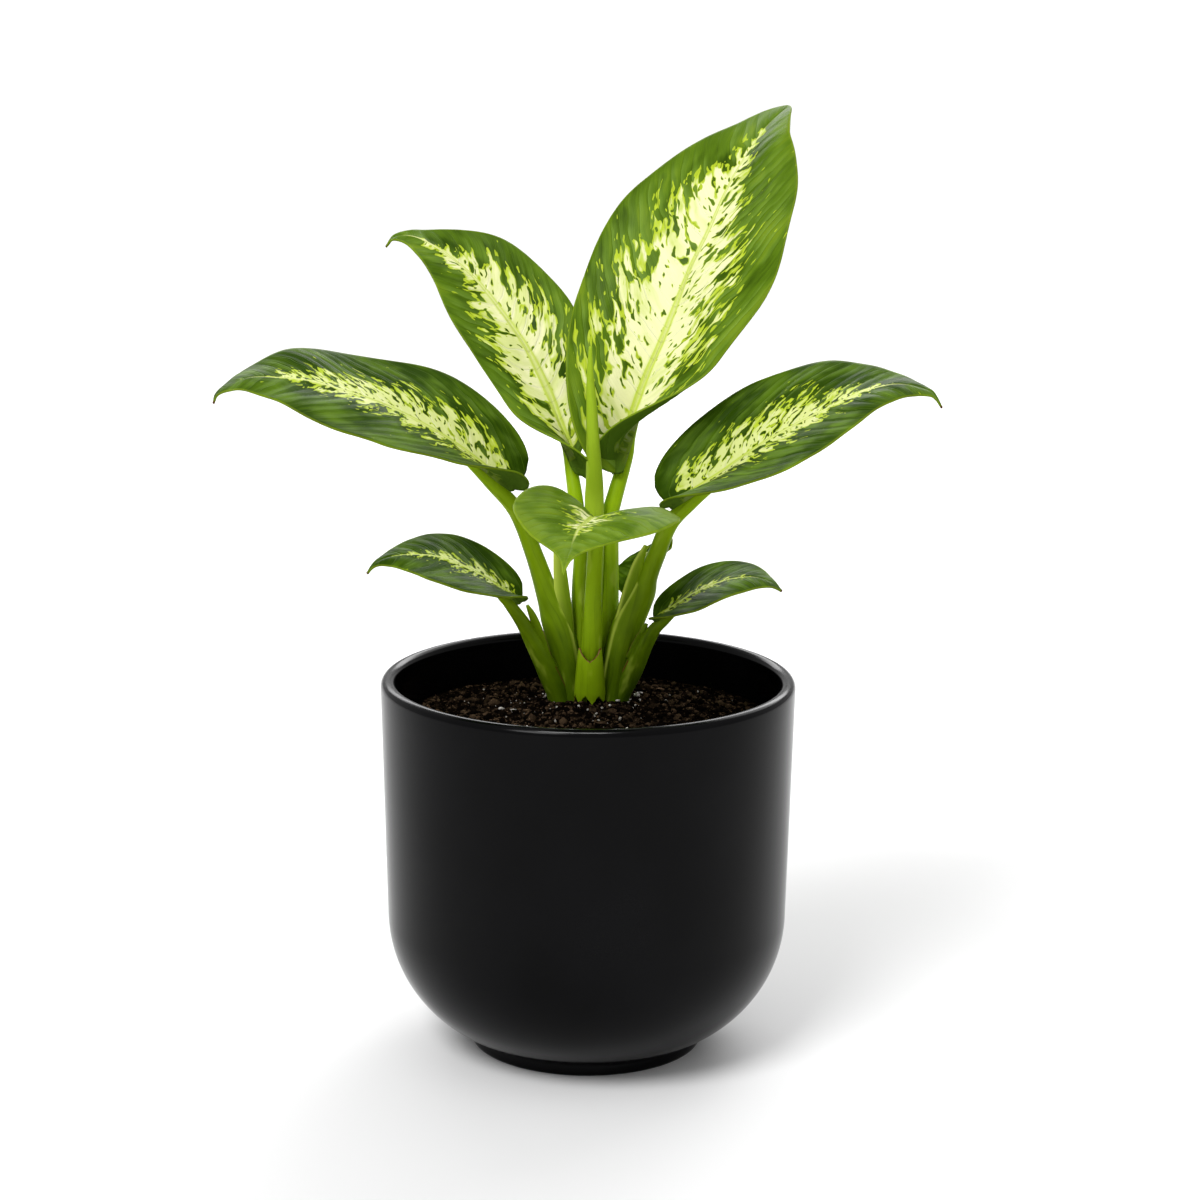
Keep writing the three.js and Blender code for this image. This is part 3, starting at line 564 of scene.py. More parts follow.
def leaf_finish(name, leaf, underside=False, sheen=0.025):
    """Variegated blade. leaf_place holds the distances along and across the blade in centimetres, times its
    fineness, and the share of the length. leaf_field holds how deep a point is in the cream heart, how far it
    is from the margin in millimetres, and how deep it is in the midrib. leaf_tone holds how light the green
    is, raised on the front leaf partly as painted sheen, the fineness, and how far a side vein curves one
    centimetre out."""
    finish = Finish(name, specular_ior_level=0 if underside else sheen)
    along, across, share_along = finish.attribute("leaf_place").parts()
    heart, margin, rib = finish.attribute("leaf_field").parts()
    tone, fineness, curl = finish.attribute("leaf_tone").parts()
    reach = abs(across)
    half = across.sign()

    # where the side vein through a point leaves the midrib: it sways, and the pattern strays from it a little
    sway = finish.field(along * 1.1, across * 1.1, 31, detail=1)
    vein = along - reach * BLADE["vein_lean"] - reach * reach * curl + (sway - 0.5) * 0.55
    crook = finish.field(along * 3.1, across * 3.1, 57, detail=1)
    bent = vein + (crook - 0.5) * 0.26

    def pattern(kind, course, roughness=0.5):
        across_veins, along_veins, apart, start, detail = PATTERN[kind]
        place = (course * across_veins, reach * along_veins, half * apart + start)
        return finish.field(*place, detail, roughness)

    # how deep a point is in the heart, whose edge has tongues with notches in them
    notch = pattern("notch", bent)
    depth = heart + (pattern("tongue", bent) - 0.5) * 0.95 + (notch - 0.5) * 0.40
    depth = depth + (pattern("wander", vein) - 0.5) * 0.45

    # green flecks and dots in the heart, each in a lime halo, and lime specks outside it
    fleck = pattern("fleck", bent) - depth.rise(-0.05, 0.50) * 0.19
    dot = pattern("dot", bent) - depth.rise(0, 0.7) * 0.05
    flecked = either(fleck.rise(0.500, 0.520), dot.rise(0.66, 0.68))
    haloed = either(fleck.rise(0.440, 0.500), dot.rise(0.61, 0.66))
    specks = (pattern("speck", bent) + depth.rise(-0.28, 0) * 0.18).rise(0.83, 0.85)
    cream_mask = depth.rise(0.01, 0.13) * (1 - haloed)
    lime_mask = depth.rise(-0.025, 0.005) * (1 - flecked)

    # the cream turns lime in clouds between the side veins, and towards the edge of the heart
    beat = (vein / fineness / (leaf.vein_spacing / CM)).fraction()
    between = abs(beat - 0.5).rise(0.5, 0.1)
    limed = pattern("drift", vein) + between * 0.12 - depth * 0.22 - (tone - 0.8) * 0.55
    cream = finish.mix(limed.rise(0.36, 0.70) * 0.75, leaf.cream, finish.mix(0.60, leaf.cream, leaf.lime))
    cream = finish.mix(depth.rise(0.22, 0.04) * 0.6, cream, leaf.lime)

    # the green is lighter in streaks and clouds, and a painted sheen lightens a band along one side of each
    # side vein
    streak = pattern("streak", vein, roughness=0.6)
    cloud = finish.field(along * 0.6, across * 0.8, 5, detail=2)
    light = streak * 0.35 + cloud * 0.65 + (tone - 0.5) * 0.30 - depth.rise(-0.35, 0) * 0.10
    green = finish.mix(light.rise(0.32, 0.66), leaf.dark_green, leaf.green)
    glow = finish.mix(0.45, leaf.green, leaf.lime)
    green = finish.mix((light - 0.58).rise(0, 0.2) * 0.40, green, glow)
    # painted sheen: a lighter band along each side vein, weaker on the darker leaves; the same band shapes
    # the quilting in the bump
    sheen_and_quilt_band = (1 - beat) * (1 - beat) * cloud.rise(0.36, 0.58) * abs(margin).rise(0.5, 4.0)
    green = finish.mix(sheen_and_quilt_band * (0.25 + tone * 0.40), green, leaf.painted_band_sheen)

    # heart over green, then the side veins and the fine lines between them
    line = abs(beat - 0.5).rise(0.465, 0.495)
    fine = abs((beat * 6 + streak * 2).fraction() - 0.5).rise(0.25, 0)
    blade = finish.mix(lime_mask, green, leaf.lime)
    blade = finish.mix(specks * (1 - lime_mask) * 0.85, blade, leaf.lime)
    blade = finish.mix(cream_mask, blade, cream)
    blade = finish.mix(line * 0.45, blade, finish.mix(cream_mask, leaf.green, leaf.side_vein))
    fine_tint = finish.mix(cream_mask, leaf.dark_green, leaf.lime)
    blade = finish.mix(fine * (0.08 - cream_mask * 0.04), blade, fine_tint)

    # the midrib and a faint line on each side of it, the margin, a lime line that is partly painted light
    # shining through the thin edge, and the dry tip of an older leaf
    in_heart = heart.rise(-0.30, 0.15)
    ribbed = finish.mix(rib.rise(0.30, 0.8) * 0.35 + share_along * 0.35, leaf.midrib, leaf.cream)
    blade = finish.mix(rib.rise(-0.45, -0.05) * in_heart * 0.3, blade, leaf.midrib)
    blade = finish.mix(rib.rise(0, 0.12) * in_heart, blade, ribbed)
    # the lime margin: partly its own colour, partly painted light shining through the thin edge
    blade = finish.mix(margin.rise(0.4, 0.1) * 0.2, blade, leaf.lime)
    blade = finish.mix(share_along.rise(0.985, 0.997) * tone.rise(0.75, 0.65), blade, leaf.dry_tip)
    if underside:
        blade = finish.mix(0.84, blade, leaf.back)
    finish.shade("Base Color", blade)
    finish.shade("Roughness", (0.50 if underside else 0.38) + (cloud - 0.5) * 0.16 + (streak - 0.5) * 0.10)
    finish.bump(line * -0.5 + fine * 0.10 + streak * 0.5 - sheen_and_quilt_band * 0.5 + notch * 0.10, 0.0004, 0.6)
    return finish.material


def stalk_finish(name, stalk):
    """Fleshy stalk, lime above and darker at its foot, partly its own colour and partly painted shade from
    the pot. stalk_place holds the distances along it and round it in centimetres, and how far up the plant a
    point is. stalk_edge holds how near it is to a dry margin and to a pale one, and how lime the stalk is."""
    finish = Finish(name, specular_ior_level=0.05)
    along, around, height = finish.attribute("stalk_place").parts()
    dry, pale, tone = finish.attribute("stalk_edge").parts()
    fibre = finish.field(along * 0.35, around * 7, 3, detail=3, roughness=0.6)
    mottle = finish.field(along * 0.9, around * 2.2, 8, detail=2)
    # darker towards the foot: partly the stalk's own colour, partly painted shade from the pot
    fade = (height * 0.8 + tone * 0.9 + (mottle - 0.5) * 0.5).rise(0.2, 1.35)
    green = finish.mix(fade, stalk.green, stalk.lime)
    green = finish.mix((fibre - 0.5).rise(0.0, 0.22) * 0.35, green, tinted(stalk.green, 0.7))
    green = finish.mix(mottle.rise(0.56, 0.75) * 0.35, green, stalk.pale)
    # a tone above 1 turns pale: on the furled leaf this is partly painted light shining through it
    green = finish.mix((tone - 1.0) * 1.6, green, stalk.pale)
    green = finish.mix(pale, green, stalk.pale)
    ragged = (dry + (mottle - 0.5) * 0.5).rise(0.45, 0.75)
    dried = finish.mix(fibre.rise(0.4, 0.6), stalk.brown, stalk.frayed)
    finish.shade("Base Color", finish.mix(ragged, green, dried))
    finish.shade("Roughness", 0.36 + ragged * 0.3 + (mottle - 0.5) * 0.12)
    finish.bump(fibre + mottle * 0.6, 0.0003, 0.5)
    return finish.material


def floor_finish(stage):
    """Plain pale floor."""
    finish = Finish("floor", specular_ior_level=0.1, roughness=0.9)
    cloud = finish.noise(finish.place(), scale=2, detail=2)
    finish.shade("Base Color", finish.mix(cloud, stage.floor, tinted(stage.floor, 0.995)))
    return finish.material


# ---------- shaping ----------
def unit(vectors):
    return vectors / np.linalg.norm(vectors, axis=-1, keepdims=True)


def smooth_line(stations, count):
    """count + 1 even stations along a smooth line through the given ones, and the line's length."""
    p = np.array(stations, float)
    p = np.vstack([2 * p[0] - p[1], p, 2 * p[-1] - p[-2]])
    t = np.linspace(0, 1, 40, endpoint=False)[:, None]
    pieces = []
    for k in range(1, len(p) - 2):
        leave, arrive = (p[k + 1] - p[k - 1]) / 2, (p[k + 2] - p[k]) / 2
        pieces.append((2 * t**3 - 3 * t**2 + 1) * p[k] + (t**3 - 2 * t**2 + t) * leave
                      + (3 * t**2 - 2 * t**3) * p[k + 1] + (t**3 - t**2) * arrive)
    fine = np.vstack([*pieces, p[-2]])
    travelled = np.append(0, np.cumsum(np.linalg.norm(np.diff(fine[:, :3], axis=0), axis=1)))
    even = np.linspace(0, travelled[-1], count + 1)
    return np.stack([np.interp(even, travelled, column) for column in fine.T], 1), travelled[-1]


def smoothed(directions, reach):
    """Directions along a line, each turned towards the mean of those within reach of it."""
    count = len(directions)
    near = [directions[max(0, k - reach):k + reach + 1].mean(0) for k in range(count)]
    return unit(np.array(near))


def eased(at, values, u, reach=0.05):
    """Values stated at some places, read at u, with the corners between them rounded."""
    return sum(np.interp(u + step * reach, at, values) for step in np.linspace(-1, 1, 9)) / 9


def start_modelling():
    if bpy.context.mode != "OBJECT":
        bpy.ops.object.mode_set(mode="OBJECT")
    bpy.ops.object.select_all(action="DESELECT")


def named(name):
    """The object that was just added, under its own name."""
    piece = bpy.context.active_object
    piece.name = name
    piece.data.name = name
    return piece


def coordinates(piece):
    found = np.empty(len(piece.data.vertices) * 3)
    piece.data.vertices.foreach_get("co", found)
    return found.reshape(-1, 3)


def move_vertices(piece, points):
    piece.data.vertices.foreach_set("co", np.asarray(points, float).ravel())
    piece.data.update()


def write_attribute(piece, name, vectors):
    attribute = piece.data.attributes.new(name, "FLOAT_VECTOR", "POINT")
    attribute.data.foreach_set("vector", np.asarray(vectors, float).ravel())


def make_outwards(piece):
    bpy.context.view_layer.objects.active = piece
    bpy.ops.object.mode_set(mode="EDIT")
    bpy.ops.mesh.select_all(action="SELECT")
    bpy.ops.mesh.normals_make_consistent(inside=False)
    bpy.ops.object.mode_set(mode="OBJECT")


def sheet(name, rows, columns):
    """A flat grid to be shaped, and for each of its vertices its row and column."""
    start_modelling()
    bpy.ops.mesh.primitive_grid_add(x_subdivisions=columns, y_subdivisions=rows, size=2)
    piece = named(name)
    flat = coordinates(piece)
    row = np.rint((flat[:, 1] + 1) / 2 * rows).astype(int)
    column = np.rint((flat[:, 0] + 1) / 2 * columns).astype(int)
    return piece, row, column


def rod(name, steps, sides):
    """A straight closed rod to be shaped; and for each of its vertices its ring, from 0 at the top, its
    angle, and how far it is from the axis, of the radius."""
    start_modelling()
    bpy.ops.mesh.primitive_cylinder_add(vertices=sides, radius=1, depth=2, end_fill_type="TRIFAN")
    piece = named(name)
    bpy.ops.object.mode_set(mode="EDIT")
    bpy.ops.mesh.select_all(action="DESELECT")
    bpy.ops.object.mode_set(mode="OBJECT")
    for edge in piece.data.edges:
        a, b = (piece.data.vertices[v].co for v in edge.vertices)
        edge.select = abs(a.z - b.z) > 1
    bpy.ops.object.mode_set(mode="EDIT")
    bpy.ops.mesh.subdivide(number_cuts=steps - 1, quadcorner="INNERVERT")
    bpy.ops.object.mode_set(mode="OBJECT")
    straight = coordinates(piece)
    ring = np.rint((1 - straight[:, 2]) / 2 * steps).astype(int)
    away = np.hypot(straight[:, 0], straight[:, 1])
    return piece, ring, np.arctan2(straight[:, 1], straight[:, 0]), away


def thicken(piece, thickness, under=1):
    """Thickens a sheet both ways from its middle. Its underside gets the material slot numbered under."""
    for _ in range(2):
        piece.data.materials.append(None)
    bpy.context.view_layer.objects.active = piece
    bpy.ops.object.modifier_add(type="SOLIDIFY")
    solid = piece.modifiers[-1]
    solid.thickness = thickness
    solid.offset = 0
    solid.use_even_offset = False
    solid.material_offset = under
    bpy.ops.object.modifier_apply(modifier=solid.name)


def finished(piece, materials, nodes=()):
    """Gives a piece its materials, and says what it rides on and stands for."""
    while len(piece.data.materials) < len(materials):
        piece.data.materials.append(None)
    for slot_number, material in enumerate(materials):
        piece.data.materials[slot_number] = material
    start_modelling()
    piece.select_set(True)
    bpy.context.view_layer.objects.active = piece
    bpy.ops.object.shade_smooth()
    start_modelling()
    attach(piece, "root")
    if nodes:
        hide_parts(*nodes)


# ---------- the pot and the soil ----------
def turned(name, profile, sides):
    """A closed round piece, drawn up ring by ring as on a wheel. The profile holds radius and height in
    metres, and starts and ends on the axis."""
    start_modelling()
    radius, height = profile[1]
    bpy.ops.mesh.primitive_circle_add(vertices=sides, radius=radius, fill_type="TRIFAN",
                                      location=(0, 0, height))
    piece = named(name)
    bpy.ops.object.transform_apply(location=True, rotation=False, scale=False)
    bpy.ops.object.mode_set(mode="EDIT")
    bpy.ops.mesh.select_mode(type="EDGE")
    bpy.ops.mesh.select_all(action="DESELECT")
    bpy.ops.mesh.select_non_manifold()
    for next_radius, next_height in profile[2:-1]:
        bpy.ops.mesh.extrude_edges_move(TRANSFORM_OT_translate={"value": (0, 0, next_height - height)})
        growth = next_radius / radius
        bpy.ops.transform.resize(value=(growth, growth, 1), center_override=(0, 0, next_height))
        radius, height = next_radius, next_height
    bpy.ops.mesh.extrude_edges_move()
    bpy.ops.mesh.merge(type="CENTER")
    bpy.ops.object.mode_set(mode="OBJECT")
    make_outwards(piece)
    return piece


def bottom_curve(inset, lowest, steps):
    """Radius and height in metres along the curved bottom, up to where the wall turns straight. The inset
    is how far inside the pot's outside the curve lies, and lowest is the height it starts at, in
    millimetres."""
    middle = POT["foot_wall_radius"] - POT["bottom_curve"]
    centre = POT["foot_height"] + math.sqrt(POT["bottom_curve"] ** 2 - (POT["foot_radius"] - middle) ** 2)
    radius = POT["bottom_curve"] - inset
    angles = np.linspace(-math.asin((centre - lowest) / radius), 0, steps)
    return [(MM * (middle + radius * math.cos(a)), MM * (centre + radius * math.sin(a))) for a in angles]


def pot_profile(pot):
    """The pot's outline from the middle of its underside, up outside, over the lip and down inside."""
    lip = pot.wall / 2
    floor_height = POT["foot_height"] + POT["floor"]
    outside = bottom_curve(0, POT["foot_height"], 36)
    inside = bottom_curve(pot.wall / MM, floor_height, 30)
    middle_of_lip = pot.radius - lip
    start_radius, start_height = outside[-1]
    straight = pot.height - lip - start_height
    lean = (pot.radius - start_radius) / straight
    heights = [start_height + k / 12 * straight for k in range(1, 12)]
    wall = [(start_radius + (z - start_height) * lean, z) for z in heights]
    rim = [(middle_of_lip + lip * math.cos(a), pot.height - lip + lip * math.sin(a))
           for a in np.linspace(0, math.pi, 21)]
    inner = [(r - pot.wall, z) for r, z in wall[::-1]]
    foot = [((POT["foot_radius"] - inwards) * MM, z * MM) for inwards, z in POT["recess"] + POT["foot_ring"]]
    middle = [(0, foot[0][1])]
    return [*middle, *foot, *outside, *wall, *rim, *inner, *inside[::-1], (0, floor_height * MM)]


class PLANT_OT_pot(bpy.types.Operator):
    """Turn the pot and glaze it"""
    bl_idname = "plant.pot"
    bl_label = "Pot"

    def execute(self, context):
        pot = context.scene.plant.pot
        piece = turned("glazed_pot", pot_profile(pot), 144)
        finished(piece, [glaze_finish(pot)], ["pot"])
        return {"FINISHED"}


def mound_level(radius, soil):
    """Height in millimetres of the mix at a distance from the pot's axis."""
    rise = np.cos(np.pi / 2 * np.minimum(radius / SOIL_EDGE, 1)) ** SOIL["mound_power"]
    return SOIL["wall_level"] + (soil.crown_level / MM - SOIL["wall_level"]) * rise


def roughness_of_soil(x, y):
    """How far the mix stands above its smooth level, in millimetres: least next to the wall."""
    # clods about a centimetre across, with crumbs of two sizes on them
    at = Vector((x, y, 0)) * 0.11
    clods = noise.fractal(at, 0.9, 2.1, 3) * 0.9
    crumbs = noise.noise(at * 5.5) * 0.7 + noise.noise(at * 11) * 0.35
    return (clods + crumbs) * min(1, (SOIL_EDGE + 1 - math.hypot(x, y)) / 4)


class PLANT_OT_soil(bpy.types.Operator):
    """Fill the pot with crumbly potting mix"""
    bl_idname = "plant.soil"
    bl_label = "Potting mix"

    def execute(self, context):
        soil, pot = context.scene.plant.soil, context.scene.plant.pot
        inset = pot.wall / MM
        side = [(r - SOIL["clearance"] * MM, z) for r, z in bottom_curve(inset, SOIL_LOW.z / MM, 12)]
        top = [(r * MM, mound_level(r, soil) * MM) for r in np.linspace(SOIL_EDGE, 0, 70)]
        piece = turned("potting_mix", [(0, SOIL_LOW.z), *side, *top], 200)
        points = coordinates(piece) / MM
        for k, (x, y, z) in enumerate(points):
            if z > SOIL["wall_level"] - 0.5:
                points[k, 2] += roughness_of_soil(x, y)
        move_vertices(piece, points * MM)
        finished(piece, [soil_finish(soil)], ["soil"])
        return {"FINISHED"}


def scattered(name, places, kind, rng):
    """Irregular lumps of a kind, one at each place, from one modelled lump."""
    count = len(places)
    sizes = np.minimum(rng.gamma(*kind["spread"], count) + kind["least"], kind["most"])
    tints = rng.uniform(0, 1, count)
    start_modelling()
    bpy.ops.mesh.primitive_ico_sphere_add(subdivisions=1, radius=1)
    piece = named(name)
    lump = coordinates(piece)
    corners = np.array([list(face.vertices) for face in piece.data.polygons])
    shapes = np.random.default_rng(kind["seed"])
    jitter = shapes.uniform(0.4, 1.35, (count, len(lump), 1))
    stretch = shapes.uniform(0.7, 1.3, (count, 1, 3))
    angle = shapes.uniform(0, 2 * np.pi, (count, 1))
    x, y, z = np.moveaxis(lump[None] * jitter * stretch, -1, 0)
    turned_x = x * np.cos(angle) - y * np.sin(angle)
    turned_y = x * np.sin(angle) + y * np.cos(angle)
    points = np.stack([turned_x, turned_y, z * kind["flatness"]], -1) * sizes[:, None, None]
    points = (points + places[:, None]) * MM
    faces = (corners[None] + (np.arange(count) * len(lump))[:, None, None]).reshape(-1, 3)
    piece.data.clear_geometry()
    piece.data.from_pydata(points.reshape(-1, 3).tolist(), [], faces.tolist())
    write_attribute(piece, "crumb_tint", np.repeat(np.stack([tints, tints, tints], 1), len(lump), axis=0))
    return piece


def on_the_mix(angle, radius, soil):
    """Places on the uneven surface of the mix, in millimetres."""
    x, y = radius * np.cos(angle), radius * np.sin(angle)
    bumps = np.array([roughness_of_soil(a, b) for a, b in zip(x, y)])
    return np.stack([x, y, mound_level(radius, soil) + bumps], 1)


class PLANT_OT_crumbs(bpy.types.Operator):
    """Scatter crumbs and white grains over the potting mix"""
    bl_idname = "plant.crumbs"
    bl_label = "Crumbs and grains"

    def execute(self, context):
        soil = context.scene.plant.soil
        edge = SOIL_EDGE - 2
        rng = np.random.default_rng(11)
        angle = rng.uniform(0, 2 * np.pi, soil.crumbs)
        radius = edge * np.sqrt(rng.uniform(0, 1, soil.crumbs))
        crumbs = scattered("crumbs", on_the_mix(angle, radius, soil), CRUMB, rng)
        finished(crumbs, [crumb_finish(soil)])

        # the grains lie closer together near the stalks, and a little higher than the crumbs
        angle = rng.uniform(0, 2 * np.pi, soil.grains)
        radius = 9 + rng.gamma(1.7, 9.0, soil.grains)
        radius = np.where(radius < edge, radius, rng.uniform(14, edge, soil.grains))
        places = on_the_mix(angle, radius, soil) + 0.35 * UP
        finished(scattered("white_grains", places, GRAIN, rng), [grain_finish(soil)])
        return {"FINISHED"}


# ---------- the leaves ----------
def outline(leaf, half, u):
    """Share of the full half width at u along the midrib."""
    base, widest = leaf["base"][half], leaf["widest"][half]
    near = base + (1 - base) * np.sin(np.pi / 2 * np.clip(u / widest, 0, 1) ** leaf["shoulder"][half])
    far = np.cos(np.pi / 2 * np.clip((u - widest) / (1 - widest), 0, 1)) ** leaf["tip"][half]
    return np.where(u < widest, near, far)


def midrib_frame(leaf, rows):
    """The midrib in even steps, its length, and at each step the directions ahead, to the right and off the
    upper face of the blade."""
    line, length = smooth_line(leaf["midrib"], rows)
    ahead = smoothed(unit(np.gradient(line, axis=0)), rows // 7)
    level = unit(np.cross(ahead, UP))
    above = np.cross(level, ahead)
    roll = np.radians(eased(LIFT_AT, leaf["roll"], np.linspace(0, 1, rows + 1)[:, None]))
    side = level * np.cos(roll) + above * np.sin(roll)
    face = above * np.cos(roll) - level * np.sin(roll)
    return line, length, ahead, side, face


def blade_surface(leaf, rows, v):
    """The middle surface of a blade, row by row from the stalk, each row from the left edge to the right
    one. With it, for each of its points, the share of the length and the distances along and across in
    millimetres."""
    line, length, ahead, side, face = midrib_frame(leaf, rows)
    u = np.linspace(0, 1, rows + 1)[:, None]
    a = np.abs(v)[None]

    def of_half(pair):
        left, right = pair
        return np.where((v >= 0)[None], right, left)

    share = of_half([outline(leaf, half, u) for half in (0, 1)])
    width = of_half(leaf["half_width"]) * share + BLADE["tip_half_width"]
    lift = of_half([eased(LIFT_AT, half, u) for half in leaf["lift"]])
    lift = lift + of_half(leaf["fold"]) * np.clip(1 - u / BLADE["fold_reach"], 0, 1) ** 2
    angle = np.radians(lift + BLADE["cup"] * a / 2)
    height, count, phase = (of_half(pair) for pair in zip(*leaf["ripple"]))
    ripple = height * share * a**2 * np.sin(2 * np.pi * (count * u + phase))
    across = width * a * np.cos(angle) * np.sign(v)[None]
    rise = width * a * np.sin(angle) + ripple
    back = np.clip(1 - u / BLADE["lobe_reach"], 0, 1) ** 2
    sweep = BLADE["sweep"] * width
    forward = sweep * a**1.5 - (of_half(leaf["lobe"]) + sweep) * back * a**0.7
    points = (line[:, None] + ahead[:, None] * forward[..., None] + side[:, None] * across[..., None]
              + face[:, None] * rise[..., None])
    distance_along = u * length + 0 * a
    return points, np.broadcast_to(u, distance_along.shape), distance_along, width * v[None]


def side_vein(along, across, half_width):
    """Where the side vein through a point leaves the midrib, in millimetres along it."""
    reach = np.abs(across)
    return along - BLADE["vein_lean"] * reach - BLADE["curl"] * reach**2 / half_width


def relief(along, across, width, length, half_width, spacing, seed):
    """How far the blade stands off its smooth surface: it is quilted between its side veins, uneven, and
    has a low ridge over the midrib."""
    beat = side_vein(along, across, half_width) / spacing
    step = beat - np.floor(beat)
    quilt = np.abs(np.sin(np.pi * beat)) ** 0.6 - 0.6 + 0.5 * (0.5 - step) * np.clip(4 * step, 0, 1)
    v = np.abs(across) / width
    fade = np.sin(np.pi * np.clip(v, 0, 1)) ** 0.8 * np.clip(along / (0.1 * length), 0, 1)
    fade = fade * np.clip((length - along) / (0.25 * length), 0, 1)
    wander = (np.sin(along * 0.21 + seed) * np.cos(across * 0.17 + seed * 2)
              + np.sin(along * 0.11 + across * 0.13 + seed))
    ridge_half_width, ridge_height = BLADE["ridge"]
    ridge = np.exp(-((np.abs(across) / ridge_half_width) ** 4)) * ridge_height * (1 - along / length)
    scale = min(1, length / BLADE["full_relief"])
    return scale * (BLADE["quilt"] * quilt + BLADE["unevenness"] * wander) * fade + ridge


class PLANT_OT_leaves(bpy.types.Operator):
    """Shape every leaf from a flat sheet, give it its midrib and thickness, and colour it"""
    bl_idname = "plant.leaves"
    bl_label = "Leaves"

    def execute(self, context):
        settings = context.scene.plant.leaf
        upper = leaf_finish("leaf", settings)
        under = leaf_finish("leaf_underside", settings, underside=True)
        # the back leaf gets a copy of the leaf with no sheen, so that it looks shaded
        shaded = leaf_finish("shaded_leaf", settings, sheen=0)
        for index, name in enumerate(LEAVES):
            self.leaf(name, index, settings, [shaded if name == "back" else upper, under])
        return {"FINISHED"}

    def leaf(self, name, index, settings, materials):
        leaf = LEAVES[name]
        length = smooth_line(leaf["midrib"], 40)[1]
        rows = int(max(BLADE["fewest_rows"], length * BLADE["rows_per_mm"]))
        columns = BLADE["columns"]
        piece, row, column = sheet(f"blade_{name}", rows, columns)

        # the columns lie closer together near the midrib
        x = np.linspace(-1, 1, columns + 1)
        v = x * (0.35 + 0.65 * np.abs(x))
        points, u, along, across = blade_surface(leaf, rows, v)
        normal = unit(np.cross(np.gradient(points, axis=1), np.gradient(points, axis=0)))
        width = np.maximum(np.abs(across[:, :1]) * (v < 0) + np.abs(across[:, -1:]) * (v >= 0), 0.1)
        spacing = settings.vein_spacing / MM
        widest = max(leaf["half_width"])
        raised = relief(along, across, width, length, widest, spacing, index * 1.7)
        points = points + normal * raised[..., None]

        # what the colours need to know of each point; each leaf lies elsewhere in the noise
        left, right = (eased(CREAM_AT, (NO_CREAM, *shares), u[:, :1], 0.02) for shares in leaf["cream"])
        cream = np.where(v >= 0, right, left)
        rib = 1 - np.abs(across) / np.maximum(leaf["rib"] * (1 - u) ** BLADE["rib_taper"], 0.05)
        finer = leaf["fineness"]
        curl = BLADE["curl"] / (widest / 10 * finer)
        attributes = {
            "leaf_place": (along / 10 * finer + index * 17, across / 10 * finer, u),
            "leaf_field": (cream - np.abs(v)[None], width - np.abs(across), rib),
            "leaf_tone": (leaf["tone"] + 0 * u, finer + 0 * u, curl + 0 * u),
        }
        move_vertices(piece, points[row, column] * MM)
        for key, values in attributes.items():
            write_attribute(piece, key, np.stack(values, -1)[row, column])
        thicken(piece, settings.thickness)
        self.rib(piece, normal[row, column], across[row, column], u[row, column], leaf["rib"])
        finished(piece, materials, [f"leaf_{name}"])

    def rib(self, piece, normals, across, u, rib_width):
        """The rounded midrib that stands out under the blade."""
        under = np.zeros(len(piece.data.vertices), bool)
        for face in piece.data.polygons:
            if face.material_index == 1:
                under[list(face.vertices)] = True
        half_width = BLADE["rib_spread"] * rib_width * (1 - u) ** BLADE["rib_taper"] + 0.3
        rounded = np.sqrt(np.clip(1 - (across / half_width) ** 2, 0, 1))
        depth = BLADE["rib_depth"] * rib_width * (1 - u) ** 1.2 * rounded
        move = np.tile(normals * depth[:, None], (2, 1)) * under[:, None]
        move_vertices(piece, coordinates(piece) - move * MM)


# ---------- the stalks ----------
def up_the_plant(height):
    """0 at the dark foot of the stalks and 1 where they are lime, from a height in millimetres; the dark foot
    is partly painted shade from the pot.
    """
    dark, lime = STALK_SHADE
    return np.clip((height - dark) / (lime - dark), 0, 1)


def carried_along(ahead, start):
    """Directions square to a line, carried along it from its last point without twisting."""
    side = np.empty_like(ahead)
    side[-1] = start
    for k in range(len(ahead) - 1, -1, -1):
        before = side[min(k + 1, len(ahead) - 1)]
        side[k] = unit(before - ahead[k] * (before @ ahead[k]))
    return side


def bent_rod(name, stations, steps, sides, tone, edges=()):
    """A closed rod along a smooth line through the stations, with an ellipse of their half width and half
    depth, marked with its tone and its coloured edges."""
    piece, ring, angle, away = rod(name, steps, sides)
    line, length = smooth_line(stations, steps)
    centre = line[:, :3]
    half_width, half_depth = np.maximum(line[:, 3:], 0.05).T
    ahead = unit(np.gradient(centre, axis=0))
    side = carried_along(ahead, unit(np.cross(ahead[-1], BACK)))
    front = np.cross(side, ahead)
    out = (side[ring] * (half_width[ring] * np.cos(angle) * away)[:, None]
           + front[ring] * (half_depth[ring] * np.sin(angle) * away)[:, None])
    points = centre[ring] + out
    move_vertices(piece, points * MM)
    radius = (half_width[ring] + half_depth[ring]) / 2
    place = [ring / steps * length / 10, angle * radius / 10, up_the_plant(points[:, 2])]
    write_attribute(piece, "stalk_place", np.stack(place, 1))
    marks = {"dry": np.zeros(len(points)), "pale": np.zeros(len(points))}
    for kind, at, width, low, high in edges:
        turn = np.abs((angle - math.radians(at) + np.pi) % (2 * np.pi) - np.pi)
        within = (points[:, 2] > low) & (points[:, 2] < high)
        marks[kind] = np.maximum(marks[kind], np.exp(-((turn * radius / width) ** 2)) * within)
    write_attribute(piece, "stalk_edge", np.stack([marks["dry"], marks["pale"], tone + 0 * radius], 1))
    make_outwards(piece)
    return piece


def joined(name, pieces):
    start_modelling()
    for piece in pieces:
        piece.select_set(True)
    bpy.context.view_layer.objects.active = pieces[0]
    bpy.ops.object.join()
    return named(name)


